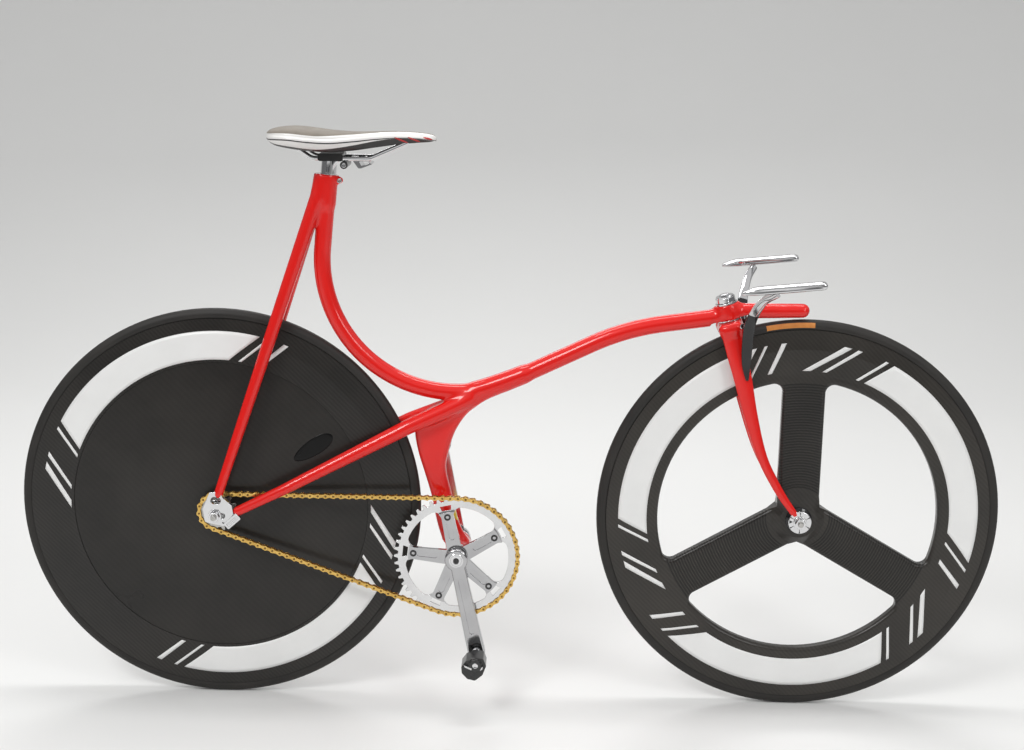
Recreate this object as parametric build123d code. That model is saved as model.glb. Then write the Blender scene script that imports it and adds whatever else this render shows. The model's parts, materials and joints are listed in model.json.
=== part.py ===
from build123d import *
import os
from math import atan2, cos, degrees, hypot, pi, radians, sin, sqrt, tan

# A steel track bicycle with a disc rear wheel and a three-spoke front wheel. Sizes are in
# millimetres. It is laid out with X forward from the rear axle, Y to the rider's left and
# Z up from the floor, and the finished pieces are then moved so that the origin is the
# middle of the saddle's top.

# Layout
WHEEL_R = 334.0
BRACKET_AHEAD = 62.0
BRACKET_DROP = 70.0
FRONT_CENTRE = 565.0
SADDLE_RISE = 624.0
SADDLE_AHEAD = 16.66
HEAD_ANGLE = radians(74.5)
FORK_RAKE = 33.0
RUN_GAP = 0.3
BRACKET_X = WHEEL_R + BRACKET_AHEAD
BRACKET_Z = WHEEL_R - BRACKET_DROP
WHEELBASE = BRACKET_X + FRONT_CENTRE
SADDLE_Z = WHEEL_R + SADDLE_RISE

# Wheels
TYRE_R = 10.5
TYRE_SEAT = 16.0
RIM_EDGE = 10.0
RIM_BULGE = 12.5
BULGE_DOWN = 32.0
WEB_HALF = 11.0
WINDOW_R = 232.0
SPOKES = 3
SPOKE_HALF_W = 35.0
WINDOW_HUB_FILLET = 38.0
WINDOW_RIM_FILLET = 14.0
WINDOW_EDGE_FILLET = 7.0
DISC_R = 246.0
DISC_STEP = 0.9
DISC_HUB_HALF = 24.0
DISC_HUB_R = 46.0
RIM_R = WHEEL_R - TYRE_SEAT
BULGE_R = RIM_R - BULGE_DOWN

# Hubs and axles
REAR_SPACING = 120.0
FRONT_SPACING = 66.0
REAR_AXLE_R = 5.0
FRONT_AXLE_R = 4.5
HUB_R = 22.0
HUB_END_R = 11.0
HUB_LEFT_STEP = 40.0
AXLE_GAP = 0.05
NUT_R = 9.0
NUT_W = 8.0
WASHER_R = 11.0
WASHER_W = 1.6
AXLE_STUB = 5.0
STUB_STEP = 0.5

# Drive
CHAIN_PITCH = 12.7
RING_TEETH = 50
COG_TEETH = 15
CHAIN_LINE = 42.0
TOOTH_W = 2.8
TOOTH_ROOT = 3.6
TOOTH_TIP = 3.0
ROLLER_R = 3.85
PLATE_H = 8.6
PLATE_WAIST = 6.0
PLATE_T = 1.1
PLATE_GAP = 0.35
PIN_CLEAR = 3
COG_SEAT_R = 17.0
COG_SHOULDER = 34.0
COG_SPACER_R = 23.0
LOCKRING_R = 21.0
LOCKRING_W = 4.0
LOCK_END = 52.0
RING_INNER_R = 86.0
RING_TAB_R = 60.0
RING_NOTCH = ((82.0, 7.5), (90.0, 9.5))
SPIDER_ARMS = 5
SPIDER_T = 6.0
SPIDER_R = 80.0
ARM_TIP_R = 9.5
ARM_ROOT_R = 13.0
ARM_PANEL = (34.0, 8.5, 1.2)
ARM_PANEL_AT = 49.0
OPENING_HUB_FILLET = 8.0
OPENING_RIM_FILLET = 12.0
CRANK_LENGTH = 165.0
CRANK_ANGLE = radians(12.35)
CRANK_T = 13.0
CRANK_HUB_R = 19.0
CRANK_NECK_R = 11.0
CRANK_END_R = 14.5
CRANK_ROUND = 3.5
CRANK_FLUTE_W = 8.0
CRANK_FLUTE_D = 2.0
SHELL_R = 21.0
SHELL_WALL = 4.0
SHELL_HALF = 34.0
CUP_W = 4.0
CUP_DEPTH = 12.0
SPINDLE_R = 8.5
SPINDLE_BORE_R = 9.0
PEDAL_AXLE_R = 6.0
PEDAL_COLLAR_R = 8.5
PEDAL_COLLAR_W = 3.0
PEDAL_BARREL_R = 10.0
PEDAL_W = 46.0
PEDAL_CHEEK = 0.38
PEDAL_CAP = 5.0
PEDAL_STANDOFF = 8.0
PEDAL_OUTLINE = (
    # forward of and above the pedal's axle, as it hangs on its heavy side
    (-23.0, -5.0), (-15.0, 6.0), (-1.0, 12.0), (13.0, 10.0), (18.0, -3.0),
    (12.0, -19.0), (0.0, -29.0), (-13.0, -26.0), (-22.0, -16.0),
)
PEDAL_FILLET = 4.5

# Frame tubes
TUBE_R = 14.0
TYRE_CLEAR = 5.2
SEAT_BEND_R = 215.0
SEAT_BEND_AT = radians(47.07)
SEAT_LEAN = radians(5.0)
MAIN_STRAIGHT = 1.9
MAIN_BEND_R = 200.0
RISE_ANGLE = radians(25.96)
RISE_END_BACK = 294.0
RISE_BEND_R = 400.0
JUNCTION_AHEAD = 2.0
SEAT_TOP_DROP = 69.0
CLUSTER_R = 16.5
CLUSTER_H = 46.0
POST_R = 12.5
POST_GAP = 0.1
POST_DEPTH = 70.0
HEAD_R = 19.0
HEAD_ABOVE_WHEEL = 21.0
HEAD_H = 25.0
RACE_W = 3.0
STEERER_R = 12.7
STEERER_GAP = 0.6
NOSE_R = 13.0
NOSE_TIP_R = 10.0
NOSE_BACK = 2.3
NOSE_ABOVE_TYRE = 15.6
STAY_REAR_R = 6.5
CHAIN_STAY_FRONT_R = 12.0
SEAT_STAY_TOP_R = 9.5
DROPOUT_T = 6.0
FIN_ROWS = (
    # share of the height, rear and front edges from the line up to the spine, thickness
    (0.0, -20.0, 20.0, 26.0),
    (0.177, -34.8, 2.2, 25.0),
    (0.339, -41.6, -10.6, 25.0),
    (0.509, -51.4, -16.4, 25.0),
    (0.672, -60.3, -9.3, 24.0),
    (0.79, -65.5, 7.5, 23.0),
    (0.878, -67.0, 30.1, 22.0),
    (0.981, -66.0, 56.9, 21.0),
)

# Fork and bars
CROWN_ABOVE_WHEEL = 5.0
CROWN_T = 6.0
CROWN_LONG = 33.0
CROWN_BACK = 4.0
CROWN_HALF = 31.0
CROWN_ROUND = 13.0
CROWN_FLARE = 5.0
CROWN_S = WHEEL_R + CROWN_ABOVE_WHEEL
BLADES = (
    # s up the steering line, q forward of it, y outward, chord, thickness
    (CROWN_S, -4.0, 24.0, 33.0, 13.0),
    (CROWN_S - 77.0, -3.5, 28.0, 30.0, 12.0),
    (190.0, -5.0, 29.5, 22.5, 11.0),
    (120.0, -2.0, 31.5, 16.5, 10.0),
    (62.0, 11.0, 33.5, 14.5, 9.0),
    (24.0, 24.5, 36.0, 12.0, 6.0),
    (14.0, 28.6, 35.5, 11.0, 5.0),
)
FORK_END_R = 19.0
FORK_END_T = 5.0
LOCKNUT_R = 16.0
LOCKNUT_H = 8.0
STEM_CAP_R = 6.0
STEM_CAP_H = 6.0
POST_PATH = (
    # q forward, y outward, s above the crown, chord, thickness
    (2.0, 35.6, -83.0, 5.0, 4.0),
    (7.0, 36.0, -54.0, 15.0, 6.0),
    (19.0, 46.0, -9.0, 18.0, 6.5),
    (31.0, 66.0, 23.0, 17.0, 6.5),
    (50.0, 103.0, 51.0, 14.0, 6.5),
    (69.0, 136.0, 64.0, 13.0, 6.5),
)
HANDLE_Y = 140.0
HANDLE_REAR = (17.6, 80.8)
HANDLE_FRONT = (145.5, 59.0)
HANDLE_ROWS = (
    # along the handle, width, height
    (0.0, 13.6, 5.0),
    (24.0, 22.0, 13.0),
    (124.0, 22.0, 13.0),
    (129.7, 18.0, 9.0),
)
HANDLE_GROOVE = (84.0, 1.6, 1.2)
HANDLE_GROOVE_AT = 74.0

# Saddle
SADDLE_SECTIONS = (
    # x from the saddle's middle, half width, edge height, crown height, skirt depth, half width below
    (-114.0, 14.0, -6.0, -3.0, 6.0, 11.0),
    (-92.0, 57.0, -5.0, 4.5, 16.0, 50.0),
    (-70.0, 66.0, -5.0, 6.0, 20.0, 54.0),
    (-42.0, 64.0, -8.0, 4.0, 21.0, 48.0),
    (-10.0, 52.0, -10.0, 0.6, 21.0, 36.0),
    (25.0, 37.0, -8.0, -1.0, 21.0, 26.0),
    (60.0, 27.0, -5.5, 0.0, 18.5, 20.0),
    (110.0, 19.5, -5.0, 0.5, 13.0, 15.0),
    (146.0, 14.0, -7.5, -2.5, 7.0, 10.0),
    (156.0, 5.0, -9.0, -6.0, 3.0, 4.0),
)

parts = {}
ABOVE = (Align.CENTER, Align.CENTER, Align.MIN)

# Steering line: s runs up it from the foot of the front axle's perpendicular, q forward of it
FOOT_X = WHEELBASE - FORK_RAKE * sin(HEAD_ANGLE)
FOOT_Z = WHEEL_R - FORK_RAKE * cos(HEAD_ANGLE)
STEER = Plane(
    origin=(FOOT_X, 0, FOOT_Z),
    x_dir=(sin(HEAD_ANGLE), 0, cos(HEAD_ANGLE)),
    z_dir=(-cos(HEAD_ANGLE), 0, sin(HEAD_ANGLE)),
)
HEAD_LOW = WHEEL_R + HEAD_ABOVE_WHEEL
HEAD_HIGH = HEAD_LOW + HEAD_H
HEAD_MIDDLE = HEAD_LOW + HEAD_H / 2


def steer_point(q, y, s):
    """A point given forward of, beside and up the steering line, in the bicycle's frame."""
    at = STEER.from_local_coords(Vector(q, y, s))
    return (at.X, at.Y, at.Z)


def across(radius, y_from, y_to, x=0.0, z=0.0):
    """A round bar along Y."""
    bar = Cylinder(radius, abs(y_to - y_from), rotation=(90, 0, 0))
    return Pos(x, (y_from + y_to) / 2, z) * bar


def turned(points, x=0.0, z=0.0):
    """A ring turned about Y from (radius, y) points."""
    outline = make_face(Polyline(*points, close=True))
    return Pos(x, 0, z) * revolve(outline, Axis.Y)


def side_plate(outline, y_from, y_to, x=0.0, z=0.0):
    """A plate in the XZ plane, from a sketch drawn with X forward and Y up."""
    low, high = min(y_from, y_to), max(y_from, y_to)
    plate = extrude(Plane.XZ * outline, amount=-(high - low))
    return Pos(x, low, z) * plate


def taper(start, end, r_start, r_end):
    """A straight tapered tube between two points."""
    a, b = Vector(*start), Vector(*end)
    line = b - a
    cone = Cone(r_start, r_end, line.length, align=ABOVE)
    return Plane(origin=a, z_dir=line.normalized()).location * cone


def mirrored(solid):
    return mirror(solid, about=Plane.XZ)


def slot_section(place, toward, chord, thickness):
    """A rounded section, its chord across the line of travel in the side view."""
    forward = Vector(0, 1, 0).cross(Vector(*toward)).normalized()
    plane = Plane(origin=place, x_dir=forward, z_dir=Vector(*toward).normalized())
    return plane * SlotOverall(chord, thickness)


def tangents(points):
    """Unit directions of travel at each point of a list."""
    result = []
    for i in range(len(points)):
        before = Vector(*points[max(i - 1, 0)])
        after = Vector(*points[min(i + 1, len(points) - 1)])
        result.append((after - before).normalized())
    return result


def rounded_openings(sketch, rim_r, inner_fillet, outer_fillet):
    """The openings of a wheel, each with its inner corner and its two rim corners rounded."""
    result = []
    for opening in sketch.faces():
        near = opening.vertices().sort_by(lambda v: hypot(v.X, v.Y))
        shape = fillet(near[0:1], inner_fillet)
        outer = [v for v in shape.vertices() if hypot(v.X, v.Y) > rim_r - 1.0]
        result.append(fillet(outer, outer_fillet))
    return result


# Frame: the seat tube and main tube are one curve in three bends, split at the junction.
# The first bend follows the rear tyre.
bend_reach = WHEEL_R + TYRE_CLEAR + TUBE_R + SEAT_BEND_R
bend_x = bend_reach * cos(SEAT_BEND_AT)
SPINE_Z = WHEEL_R + bend_reach * sin(SEAT_BEND_AT) - SEAT_BEND_R
JUNCTION_X = bend_x + JUNCTION_AHEAD
corner = (bend_x - SEAT_BEND_R / tan((pi / 2 - SEAT_LEAN) / 2), SPINE_Z)
corner_2 = (JUNCTION_X + MAIN_STRAIGHT + MAIN_BEND_R * tan(RISE_ANGLE / 2), SPINE_Z)
rise_x = WHEELBASE - RISE_END_BACK
corner_3 = (rise_x, SPINE_Z + (rise_x - corner_2[0]) * tan(RISE_ANGLE))
seat_top_z = SADDLE_Z - SEAT_TOP_DROP
seat_top = (corner[0] + (seat_top_z - SPINE_Z) * tan(SEAT_LEAN), seat_top_z)
seat_up = Vector(sin(SEAT_LEAN), 0, cos(SEAT_LEAN))
seat_ahead = (cos(SEAT_LEAN), 0, -sin(SEAT_LEAN))
junction = (JUNCTION_X, SPINE_Z)
SADDLE_X = seat_top[0] + SADDLE_AHEAD


def bent_tube(points, radii, radius):
    path = FilletPolyline(*[(x, 0, z) for x, z in points], radius=list(radii))
    start = Plane(origin=path @ 0, z_dir=path % 0)
    return sweep(start * Circle(radius), path=path)


seat_tube = bent_tube((seat_top, corner, junction), (SEAT_BEND_R,), TUBE_R)
cluster_foot = Vector(seat_top[0], 0, seat_top[1]) - seat_up * CLUSTER_H
cluster_plane = Plane(origin=cluster_foot, x_dir=seat_ahead, z_dir=seat_up)
cluster = Cylinder(CLUSTER_R, CLUSTER_H, align=ABOVE)
EAR_R = 5.5
EAR_REACH = 19.0
EAR_DOWN = 8.0
EAR_HALF = 7.5
ear = Pos(0, 0, CLUSTER_H - EAR_DOWN) * (
    Box(EAR_REACH, 2 * EAR_HALF, 2 * EAR_R, align=(Align.MIN, Align.CENTER, Align.CENTER))
    + Pos(EAR_REACH, 0, 0) * Cylinder(EAR_R, 2 * EAR_HALF, rotation=(90, 0, 0))
)
bore_tool = Cylinder(POST_R + POST_GAP, 2 * POST_DEPTH, align=ABOVE)
post_bore = cluster_plane.location * Pos(0, 0, CLUSTER_H - POST_DEPTH) * bore_tool
seat_body = seat_tube + cluster_plane.location * (cluster + ear)
parts["seat_tube"] = seat_body - post_bore

MAIN_END_DROP = 6.0
main_end = steer_point(0, 0, HEAD_MIDDLE - MAIN_END_DROP)
main_tube = bent_tube(
    (junction, corner_2, corner_3, (main_end[0], main_end[2])),
    (MAIN_BEND_R, RISE_BEND_R),
    TUBE_R,
)
head_shape = STEER.location * Pos(0, 0, HEAD_LOW) * Cylinder(HEAD_R, HEAD_H, align=ABOVE)
head_solid = STEER.location * Cylinder(HEAD_R, 2 * HEAD_HIGH, align=ABOVE)
head_bore = STEER.location * Cylinder(STEERER_R + STEERER_GAP, 3 * HEAD_HIGH)
parts["main_tube"] = main_tube - head_solid

nose_back = steer_point(2.0, 0, HEAD_MIDDLE - 0.5)
nose_tip = (WHEELBASE - NOSE_BACK - NOSE_TIP_R, 0, 2 * WHEEL_R + NOSE_ABOVE_TYRE)
nose = taper(nose_back, nose_tip, NOSE_R, NOSE_TIP_R) + Pos(*nose_tip) * Sphere(NOSE_TIP_R)
parts["nose_tube"] = nose - head_solid
parts["head_tube"] = head_shape - head_bore
races = []
for low in (HEAD_LOW - RACE_W, HEAD_HIGH):
    races.append(Pos(0, 0, low) * Cylinder(HEAD_R - 1.0, RACE_W, align=ABOVE))
parts["headset_races"] = STEER.location * (races[0] + races[1]) - head_bore

# The fin from the junction down to the bottom bracket shell
fin_sections = []
for share, rear, front, thick in FIN_ROWS:
    line_x = BRACKET_X + share * (JUNCTION_X - BRACKET_X)
    line_z = BRACKET_Z + share * (SPINE_Z - BRACKET_Z)
    outline = SlotOverall(front - rear, thick)
    fin_sections.append(Pos(line_x + (rear + front) / 2, 0, line_z) * outline)
fin = loft(fin_sections)
shell_outer = across(SHELL_R, -SHELL_HALF, SHELL_HALF, BRACKET_X, BRACKET_Z)
shell_bore = across(SHELL_R - SHELL_WALL, -SHELL_HALF, SHELL_HALF, BRACKET_X, BRACKET_Z)
parts["bracket_shell"] = shell_outer - shell_bore
parts["bracket_fin"] = fin - shell_outer - seat_body - parts["main_tube"]
cups = []
for side in (-1, 1):
    face = side * SHELL_HALF
    flange = across(SHELL_R, face, side * (SHELL_HALF + CUP_W), BRACKET_X, BRACKET_Z)
    sleeve = across(SHELL_R - SHELL_WALL, side * (SHELL_HALF - CUP_DEPTH), face, BRACKET_X, BRACKET_Z)
    cups.append(flange + sleeve)
spindle_bore = across(SPINDLE_BORE_R, -2 * SHELL_HALF, 2 * SHELL_HALF, BRACKET_X, BRACKET_Z)
parts["bracket_cups"] = cups[0] + cups[1] - spindle_bore

# Dropouts, with an oval hole above the axle slot, and ribbed chain tensioners
DROPOUT_OUTLINE = (
    (-19.5, 12.0), (-8.0, 39.5), (9.5, 41.0), (14.0, 30.0),
    (28.0, 18.5), (30.5, 3.0), (15.0, -18.0), (-16.5, -11.0),
)
DROPOUT_FILLET = 4.5
SLOT_L = 22.0
OVAL_AT = (2.0, 26.0)
OVAL_SIZE = (17.0, 12.0)
PILOT_AT = (14.0, -11.5)
PILOT_R = 1.8
TENSIONER_AT = (28.6, -8.4)
TENSIONER_SIZE = (28.0, 12.5)
TENSIONER_TURN = 42.0
TENSIONER_RIB = (22.0, 1.2, 1.0)
TENSIONER_PROUD = 2.0
dropout_face = make_face(Polyline(*DROPOUT_OUTLINE, close=True))
dropout_face = fillet(dropout_face.vertices(), DROPOUT_FILLET)
slot = Pos(SLOT_L / 2 - REAR_AXLE_R, 0) * SlotOverall(SLOT_L, 2 * (REAR_AXLE_R + AXLE_GAP))
oval = Pos(*OVAL_AT) * SlotOverall(*OVAL_SIZE)
pilot = Pos(*PILOT_AT) * Circle(PILOT_R)
dropout_in = REAR_SPACING / 2
dropout_out = dropout_in + DROPOUT_T
tensioner_out = dropout_out + TENSIONER_PROUD
dropout = side_plate(dropout_face - slot - oval - pilot, dropout_in, dropout_out, 0, WHEEL_R)
tab_bar = Pos(*TENSIONER_AT) * Rot(0, 0, TENSIONER_TURN) * RectangleRounded(*TENSIONER_SIZE, 2.0)
tensioner = side_plate(tab_bar, dropout_in, tensioner_out, 0, WHEEL_R) - dropout
rib_l, rib_w, rib_d = TENSIONER_RIB
for lift in (-2.6, 0.0, 2.6):
    groove = Pos(*TENSIONER_AT) * Rot(0, 0, TENSIONER_TURN) * Pos(0, lift) * Rectangle(rib_l, rib_w)
    tensioner = tensioner - side_plate(groove, tensioner_out - rib_d, tensioner_out, 0, WHEEL_R)
for side, name in ((1, "left"), (-1, "right")):
    parts["dropout_" + name] = dropout if side > 0 else mirrored(dropout)
    parts["tensioner_" + name] = tensioner if side > 0 else mirrored(tensioner)

# Stays
stay_y = dropout_in + 0.5
CHAIN_STAY = ((24.0, stay_y, WHEEL_R + 13.0), (JUNCTION_X - 17.0, 19.0, SPINE_Z - 15.0))
SEAT_STAY = ((6.0, stay_y, WHEEL_R + 38.0), (seat_top[0] - 17.4, 9.0, seat_top_z - 37.0))
chain_stay = taper(*CHAIN_STAY, STAY_REAR_R, CHAIN_STAY_FRONT_R)
seat_stay = taper(*SEAT_STAY, STAY_REAR_R, SEAT_STAY_TOP_R)
keep_left = Box(4000, 2000, 4000, align=(Align.CENTER, Align.MIN, Align.CENTER))
core = seat_body + parts["main_tube"] + parts["bracket_fin"]
chain_stay = (chain_stay & keep_left) - core - dropout
seat_stay = (seat_stay & keep_left) - core - dropout
for side, name in ((1, "left"), (-1, "right")):
    parts["chain_stay_" + name] = chain_stay if side > 0 else mirrored(chain_stay)
    parts["seat_stay_" + name] = seat_stay if side > 0 else mirrored(seat_stay)

# Seat post, clamp, rails and saddle
POST_OUT = 26.0
PRONG_GAP = 5.0
PRONG_DEPTH = 5.0
post_plane = Plane(origin=Vector(seat_top[0], 0, seat_top[1]), x_dir=seat_ahead, z_dir=seat_up)
post = Pos(0, 0, -POST_DEPTH) * Cylinder(POST_R, POST_DEPTH + POST_OUT, align=ABOVE)
groove = Box(PRONG_GAP, PRONG_DEPTH, POST_OUT - 2.0, align=(Align.CENTER, Align.MAX, Align.MIN))
for turn in (0, 180):
    post = post - Rot(0, 0, turn) * Pos(0, POST_R + 0.01, 1.0) * groove
parts["seat_post"] = post_plane.location * post

RAIL_R = 3.5
RAIL_Y = 22.0
RAIL_BEND_R = 22.0
RAIL_ROWS = (
    # x from the saddle's middle, y outward, height
    (-72.0, 22.0, -20.0),
    (-40.0, 22.0, -42.0),
    (52.0, 22.0, -42.0),
    (112.0, 12.0, -16.0),
)
CLAMP_SIZE = (40.0, 52.0, 12.0)
CLAMP_AHEAD = 4.0
CLAMP_DOWN = 3.0
CLAMP_FILLET = 4.0
STRAP_OUTLINE = (
    # x from the saddle's middle, height: a bent strap between the rails
    (21.0, -40.0), (33.5, -57.0), (38.0, -57.0), (55.0, -50.5), (44.5, -40.0),
    (42.0, -40.0), (51.0, -49.3), (38.5, -53.0), (31.0, -40.0),
)


def at_saddle(points):
    return [(SADDLE_X + x, y, SADDLE_Z + z) for x, y, z in points]


rail_path = FilletPolyline(*at_saddle(RAIL_ROWS), radius=RAIL_BEND_R)
rail = sweep(Plane(origin=rail_path @ 0, z_dir=rail_path % 0) * Circle(RAIL_R), path=rail_path)
strap = side_plate(make_face(Polyline(*STRAP_OUTLINE, close=True)), -RAIL_Y, RAIL_Y, SADDLE_X, SADDLE_Z)
rails = rail + mirrored(rail) + strap
clamp_at = post_plane.from_local_coords(Vector(0, 0, POST_OUT))
clamp = Pos(clamp_at.X + CLAMP_AHEAD, 0, clamp_at.Z - CLAMP_DOWN) * Box(*CLAMP_SIZE, align=ABOVE)
parts["seat_rails"] = rails
clamp = fillet(clamp.edges().filter_by(Axis.Y), CLAMP_FILLET)
parts["seat_clamp"] = clamp - rails - parts["seat_post"]


def saddle_section(x, half, edge, crown, depth, low_half):
    """Across the saddle: an arched top, sides that lean in, a flat underside."""
    foot = edge - depth
    top = ThreePointArc((-half, edge), (0, crown), (half, edge))
    line = Polyline((half, edge), (low_half, foot), (-low_half, foot), (-half, edge))
    face = make_face([top] + list(line.edges()))
    return Plane(origin=(SADDLE_X + x, 0, SADDLE_Z), x_dir=(0, 1, 0), z_dir=(1, 0, 0)) * face


saddle = loft([saddle_section(*row) for row in SADDLE_SECTIONS])
parts["saddle"] = saddle - rails - parts["seat_clamp"]

# Wheels
TYRE_MID = WHEEL_R - TYRE_R
HUB_CONE_R = 44.0
HUB_FLAT_R = 30.0
tyre_ring = Torus(TYRE_MID, TYRE_R, rotation=(90, 0, 0))
parts["front_tyre"] = Pos(WHEELBASE, 0, WHEEL_R) * tyre_ring
parts["rear_tyre"] = Pos(0, 0, WHEEL_R) * tyre_ring


def both_sides(points):
    """A wheel's half outline from its hub to its rim, closed by the other side's."""
    return points + [(r, -y) for r, y in reversed(points)]


tri_wheel = turned(both_sides([
    (HUB_R, -DISC_HUB_HALF), (HUB_FLAT_R, -DISC_HUB_HALF), (HUB_CONE_R, -WEB_HALF),
    (WINDOW_R + 12.0, -WEB_HALF), (BULGE_R, -RIM_BULGE), (RIM_R, -RIM_EDGE),
]))
windows = Circle(WINDOW_R)
for turn in range(SPOKES):
    spoke = Rectangle(2 * WINDOW_R, 2 * SPOKE_HALF_W, align=(Align.MIN, Align.CENTER))
    windows = windows - Rot(0, 0, 90 + turn * 360.0 / SPOKES) * spoke
for shape in rounded_openings(windows, WINDOW_R, WINDOW_HUB_FILLET, WINDOW_RIM_FILLET):
    tri_wheel = tri_wheel - side_plate(shape, -2 * WEB_HALF, 2 * WEB_HALF)


def is_window_edge(edge):
    """Whether an edge runs round a window in one of the wheel's faces."""
    at = edge.center()
    on_face = abs(abs(at.Y) - WEB_HALF) < 0.01 and abs(edge.bounding_box().size.Y) < 0.01
    return on_face and HUB_CONE_R + 1.0 < hypot(at.X, at.Z) < WINDOW_R + 1.0


tri_wheel = fillet([e for e in tri_wheel.edges() if is_window_edge(e)], WINDOW_EDGE_FILLET)
parts["front_wheel"] = Pos(WHEELBASE, 0, WHEEL_R) * (tri_wheel - tyre_ring)

disc_edge = RIM_BULGE + 0.6
rear_rim = turned(both_sides([
    (DISC_R, -disc_edge - DISC_STEP), (BULGE_R, -RIM_BULGE), (RIM_R, -RIM_EDGE),
]))
parts["rear_rim"] = Pos(0, 0, WHEEL_R) * (rear_rim - tyre_ring)
parts["rear_disc"] = turned(both_sides([
    (HUB_R, -DISC_HUB_HALF), (DISC_HUB_R, -DISC_HUB_HALF), (DISC_R, -disc_edge),
]), 0, WHEEL_R)

# The chain's pitch line, from the ring's top round the ring, back to the cog and round it
ring_in = -(CHAIN_LINE - TOOTH_W / 2)
ring_out = -(CHAIN_LINE + TOOTH_W / 2)
ring_r = CHAIN_PITCH / 2 / sin(pi / RING_TEETH)
cog_r = CHAIN_PITCH / 2 / sin(pi / COG_TEETH)
centres = hypot(BRACKET_X, BRACKET_DROP)
slope = atan2(-BRACKET_DROP, BRACKET_X)
run = sqrt(centres ** 2 - (ring_r - cog_r) ** 2)
lean = atan2(ring_r - cog_r, run)
up = slope + pi / 2 + lean
down = slope - pi / 2 - lean
ring_arc = (up - down) * ring_r
cog_arc = (2 * pi - (up - down)) * cog_r
chain_length = ring_arc + cog_arc + 2 * run
links = round(chain_length / CHAIN_PITCH)
link = chain_length / links


def outward(turn):
    return Vector(cos(turn), sin(turn))


ring_at = Vector(BRACKET_X, BRACKET_Z)
cog_at = Vector(0, WHEEL_R)
low_way = (cog_at + outward(down) * cog_r - ring_at - outward(down) * ring_r).normalized()
top_way = (ring_at + outward(up) * ring_r - cog_at - outward(up) * cog_r).normalized()


def pitch_line(s):
    """The place a distance along the pitch line, and the direction out of the loop there."""
    if s < ring_arc:
        out = outward(up - s / ring_r)
        return ring_at + out * ring_r, out
    s = s - ring_arc
    if s < run:
        out = outward(down)
        return ring_at + out * ring_r + low_way * s, out
    s = s - run
    if s < cog_arc:
        out = outward(down - s / cog_r)
        return cog_at + out * cog_r, out
    s = s - cog_arc
    out = outward(up)
    return cog_at + out * cog_r + top_way * s, out


# Teeth: flat-tipped, with their gaps where the chain's pins lie
def tooth_outline(teeth, radius, gap_at):
    """Root, flank and tip points, four to a tooth."""
    points = []
    for i in range(teeth):
        for share, height in ((-0.3, -TOOTH_ROOT), (-0.12, TOOTH_TIP), (0.12, TOOTH_TIP), (0.3, -TOOTH_ROOT)):
            turn = gap_at + 2 * pi * (i + 0.5 + share) / teeth
            r = radius + height
            points.append((r * cos(turn), r * sin(turn)))
    return make_face(Polyline(*points, close=True))


crank_turn = degrees(CRANK_ANGLE) - 90.0
arm_turns = [crank_turn + 360.0 / SPIDER_ARMS * (arm + 0.5) for arm in range(SPIDER_ARMS)]
limb = make_hull((Circle(ARM_ROOT_R) + Pos(RING_INNER_R, 0) * Circle(ARM_TIP_R)).edges())
between_arms = Circle(RING_INNER_R)
for turn in arm_turns:
    between_arms = between_arms - Rot(0, 0, turn) * limb
ring_face = tooth_outline(RING_TEETH, ring_r, up) - Circle(RING_TAB_R)
spider_face = Circle(SPIDER_R)
for shape in rounded_openings(between_arms, RING_INNER_R, OPENING_HUB_FILLET, OPENING_RIM_FILLET):
    ring_face = ring_face - shape
    spider_face = spider_face - shape
(notch_low, low_half), (notch_high, high_half) = RING_NOTCH
notch = make_face(Polyline(
    (notch_low, -low_half), (notch_high, -high_half), (notch_high, high_half), (notch_low, low_half),
    close=True,
))
spider_out = ring_out - SPIDER_T
spider = side_plate(spider_face, ring_out, spider_out, BRACKET_X, BRACKET_Z)
panel_l, panel_w, panel_d = ARM_PANEL
for turn in arm_turns:
    ring_face = ring_face - Rot(0, 0, turn) * notch
    panel = Rot(0, 0, turn) * Pos(ARM_PANEL_AT, 0) * SlotOverall(panel_l, panel_w)
    spider = spider - side_plate(panel, spider_out, spider_out + panel_d, BRACKET_X, BRACKET_Z)
parts["chainring"] = side_plate(ring_face, ring_in, ring_out, BRACKET_X, BRACKET_Z)


def crank_arm(y_in, y_out, turn):
    """An arm that widens from its boss to the pedal, its outer face rounded off and fluted."""
    body = make_hull((Circle(CRANK_NECK_R) + Pos(CRANK_LENGTH, 0) * Circle(CRANK_END_R)).edges())
    forms = []
    for outline in (Circle(CRANK_HUB_R), Rot(0, 0, turn) * body):
        form = side_plate(outline, y_in, y_out, BRACKET_X, BRACKET_Z)
        outer_face = form.faces().sort_by(Axis.Y)[-1 if y_out > 0 else 0]
        forms.append(fillet(outer_face.edges(), CRANK_ROUND))
    arm = forms[0] + forms[1]
    flute = Pos(CRANK_LENGTH / 2, 0) * SlotOverall(CRANK_LENGTH * 0.6, CRANK_FLUTE_W)
    step = CRANK_FLUTE_D if y_out > 0 else -CRANK_FLUTE_D
    cut = side_plate(Rot(0, 0, turn) * flute, y_out - step, y_out, BRACKET_X, BRACKET_Z)
    return arm - cut


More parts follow.
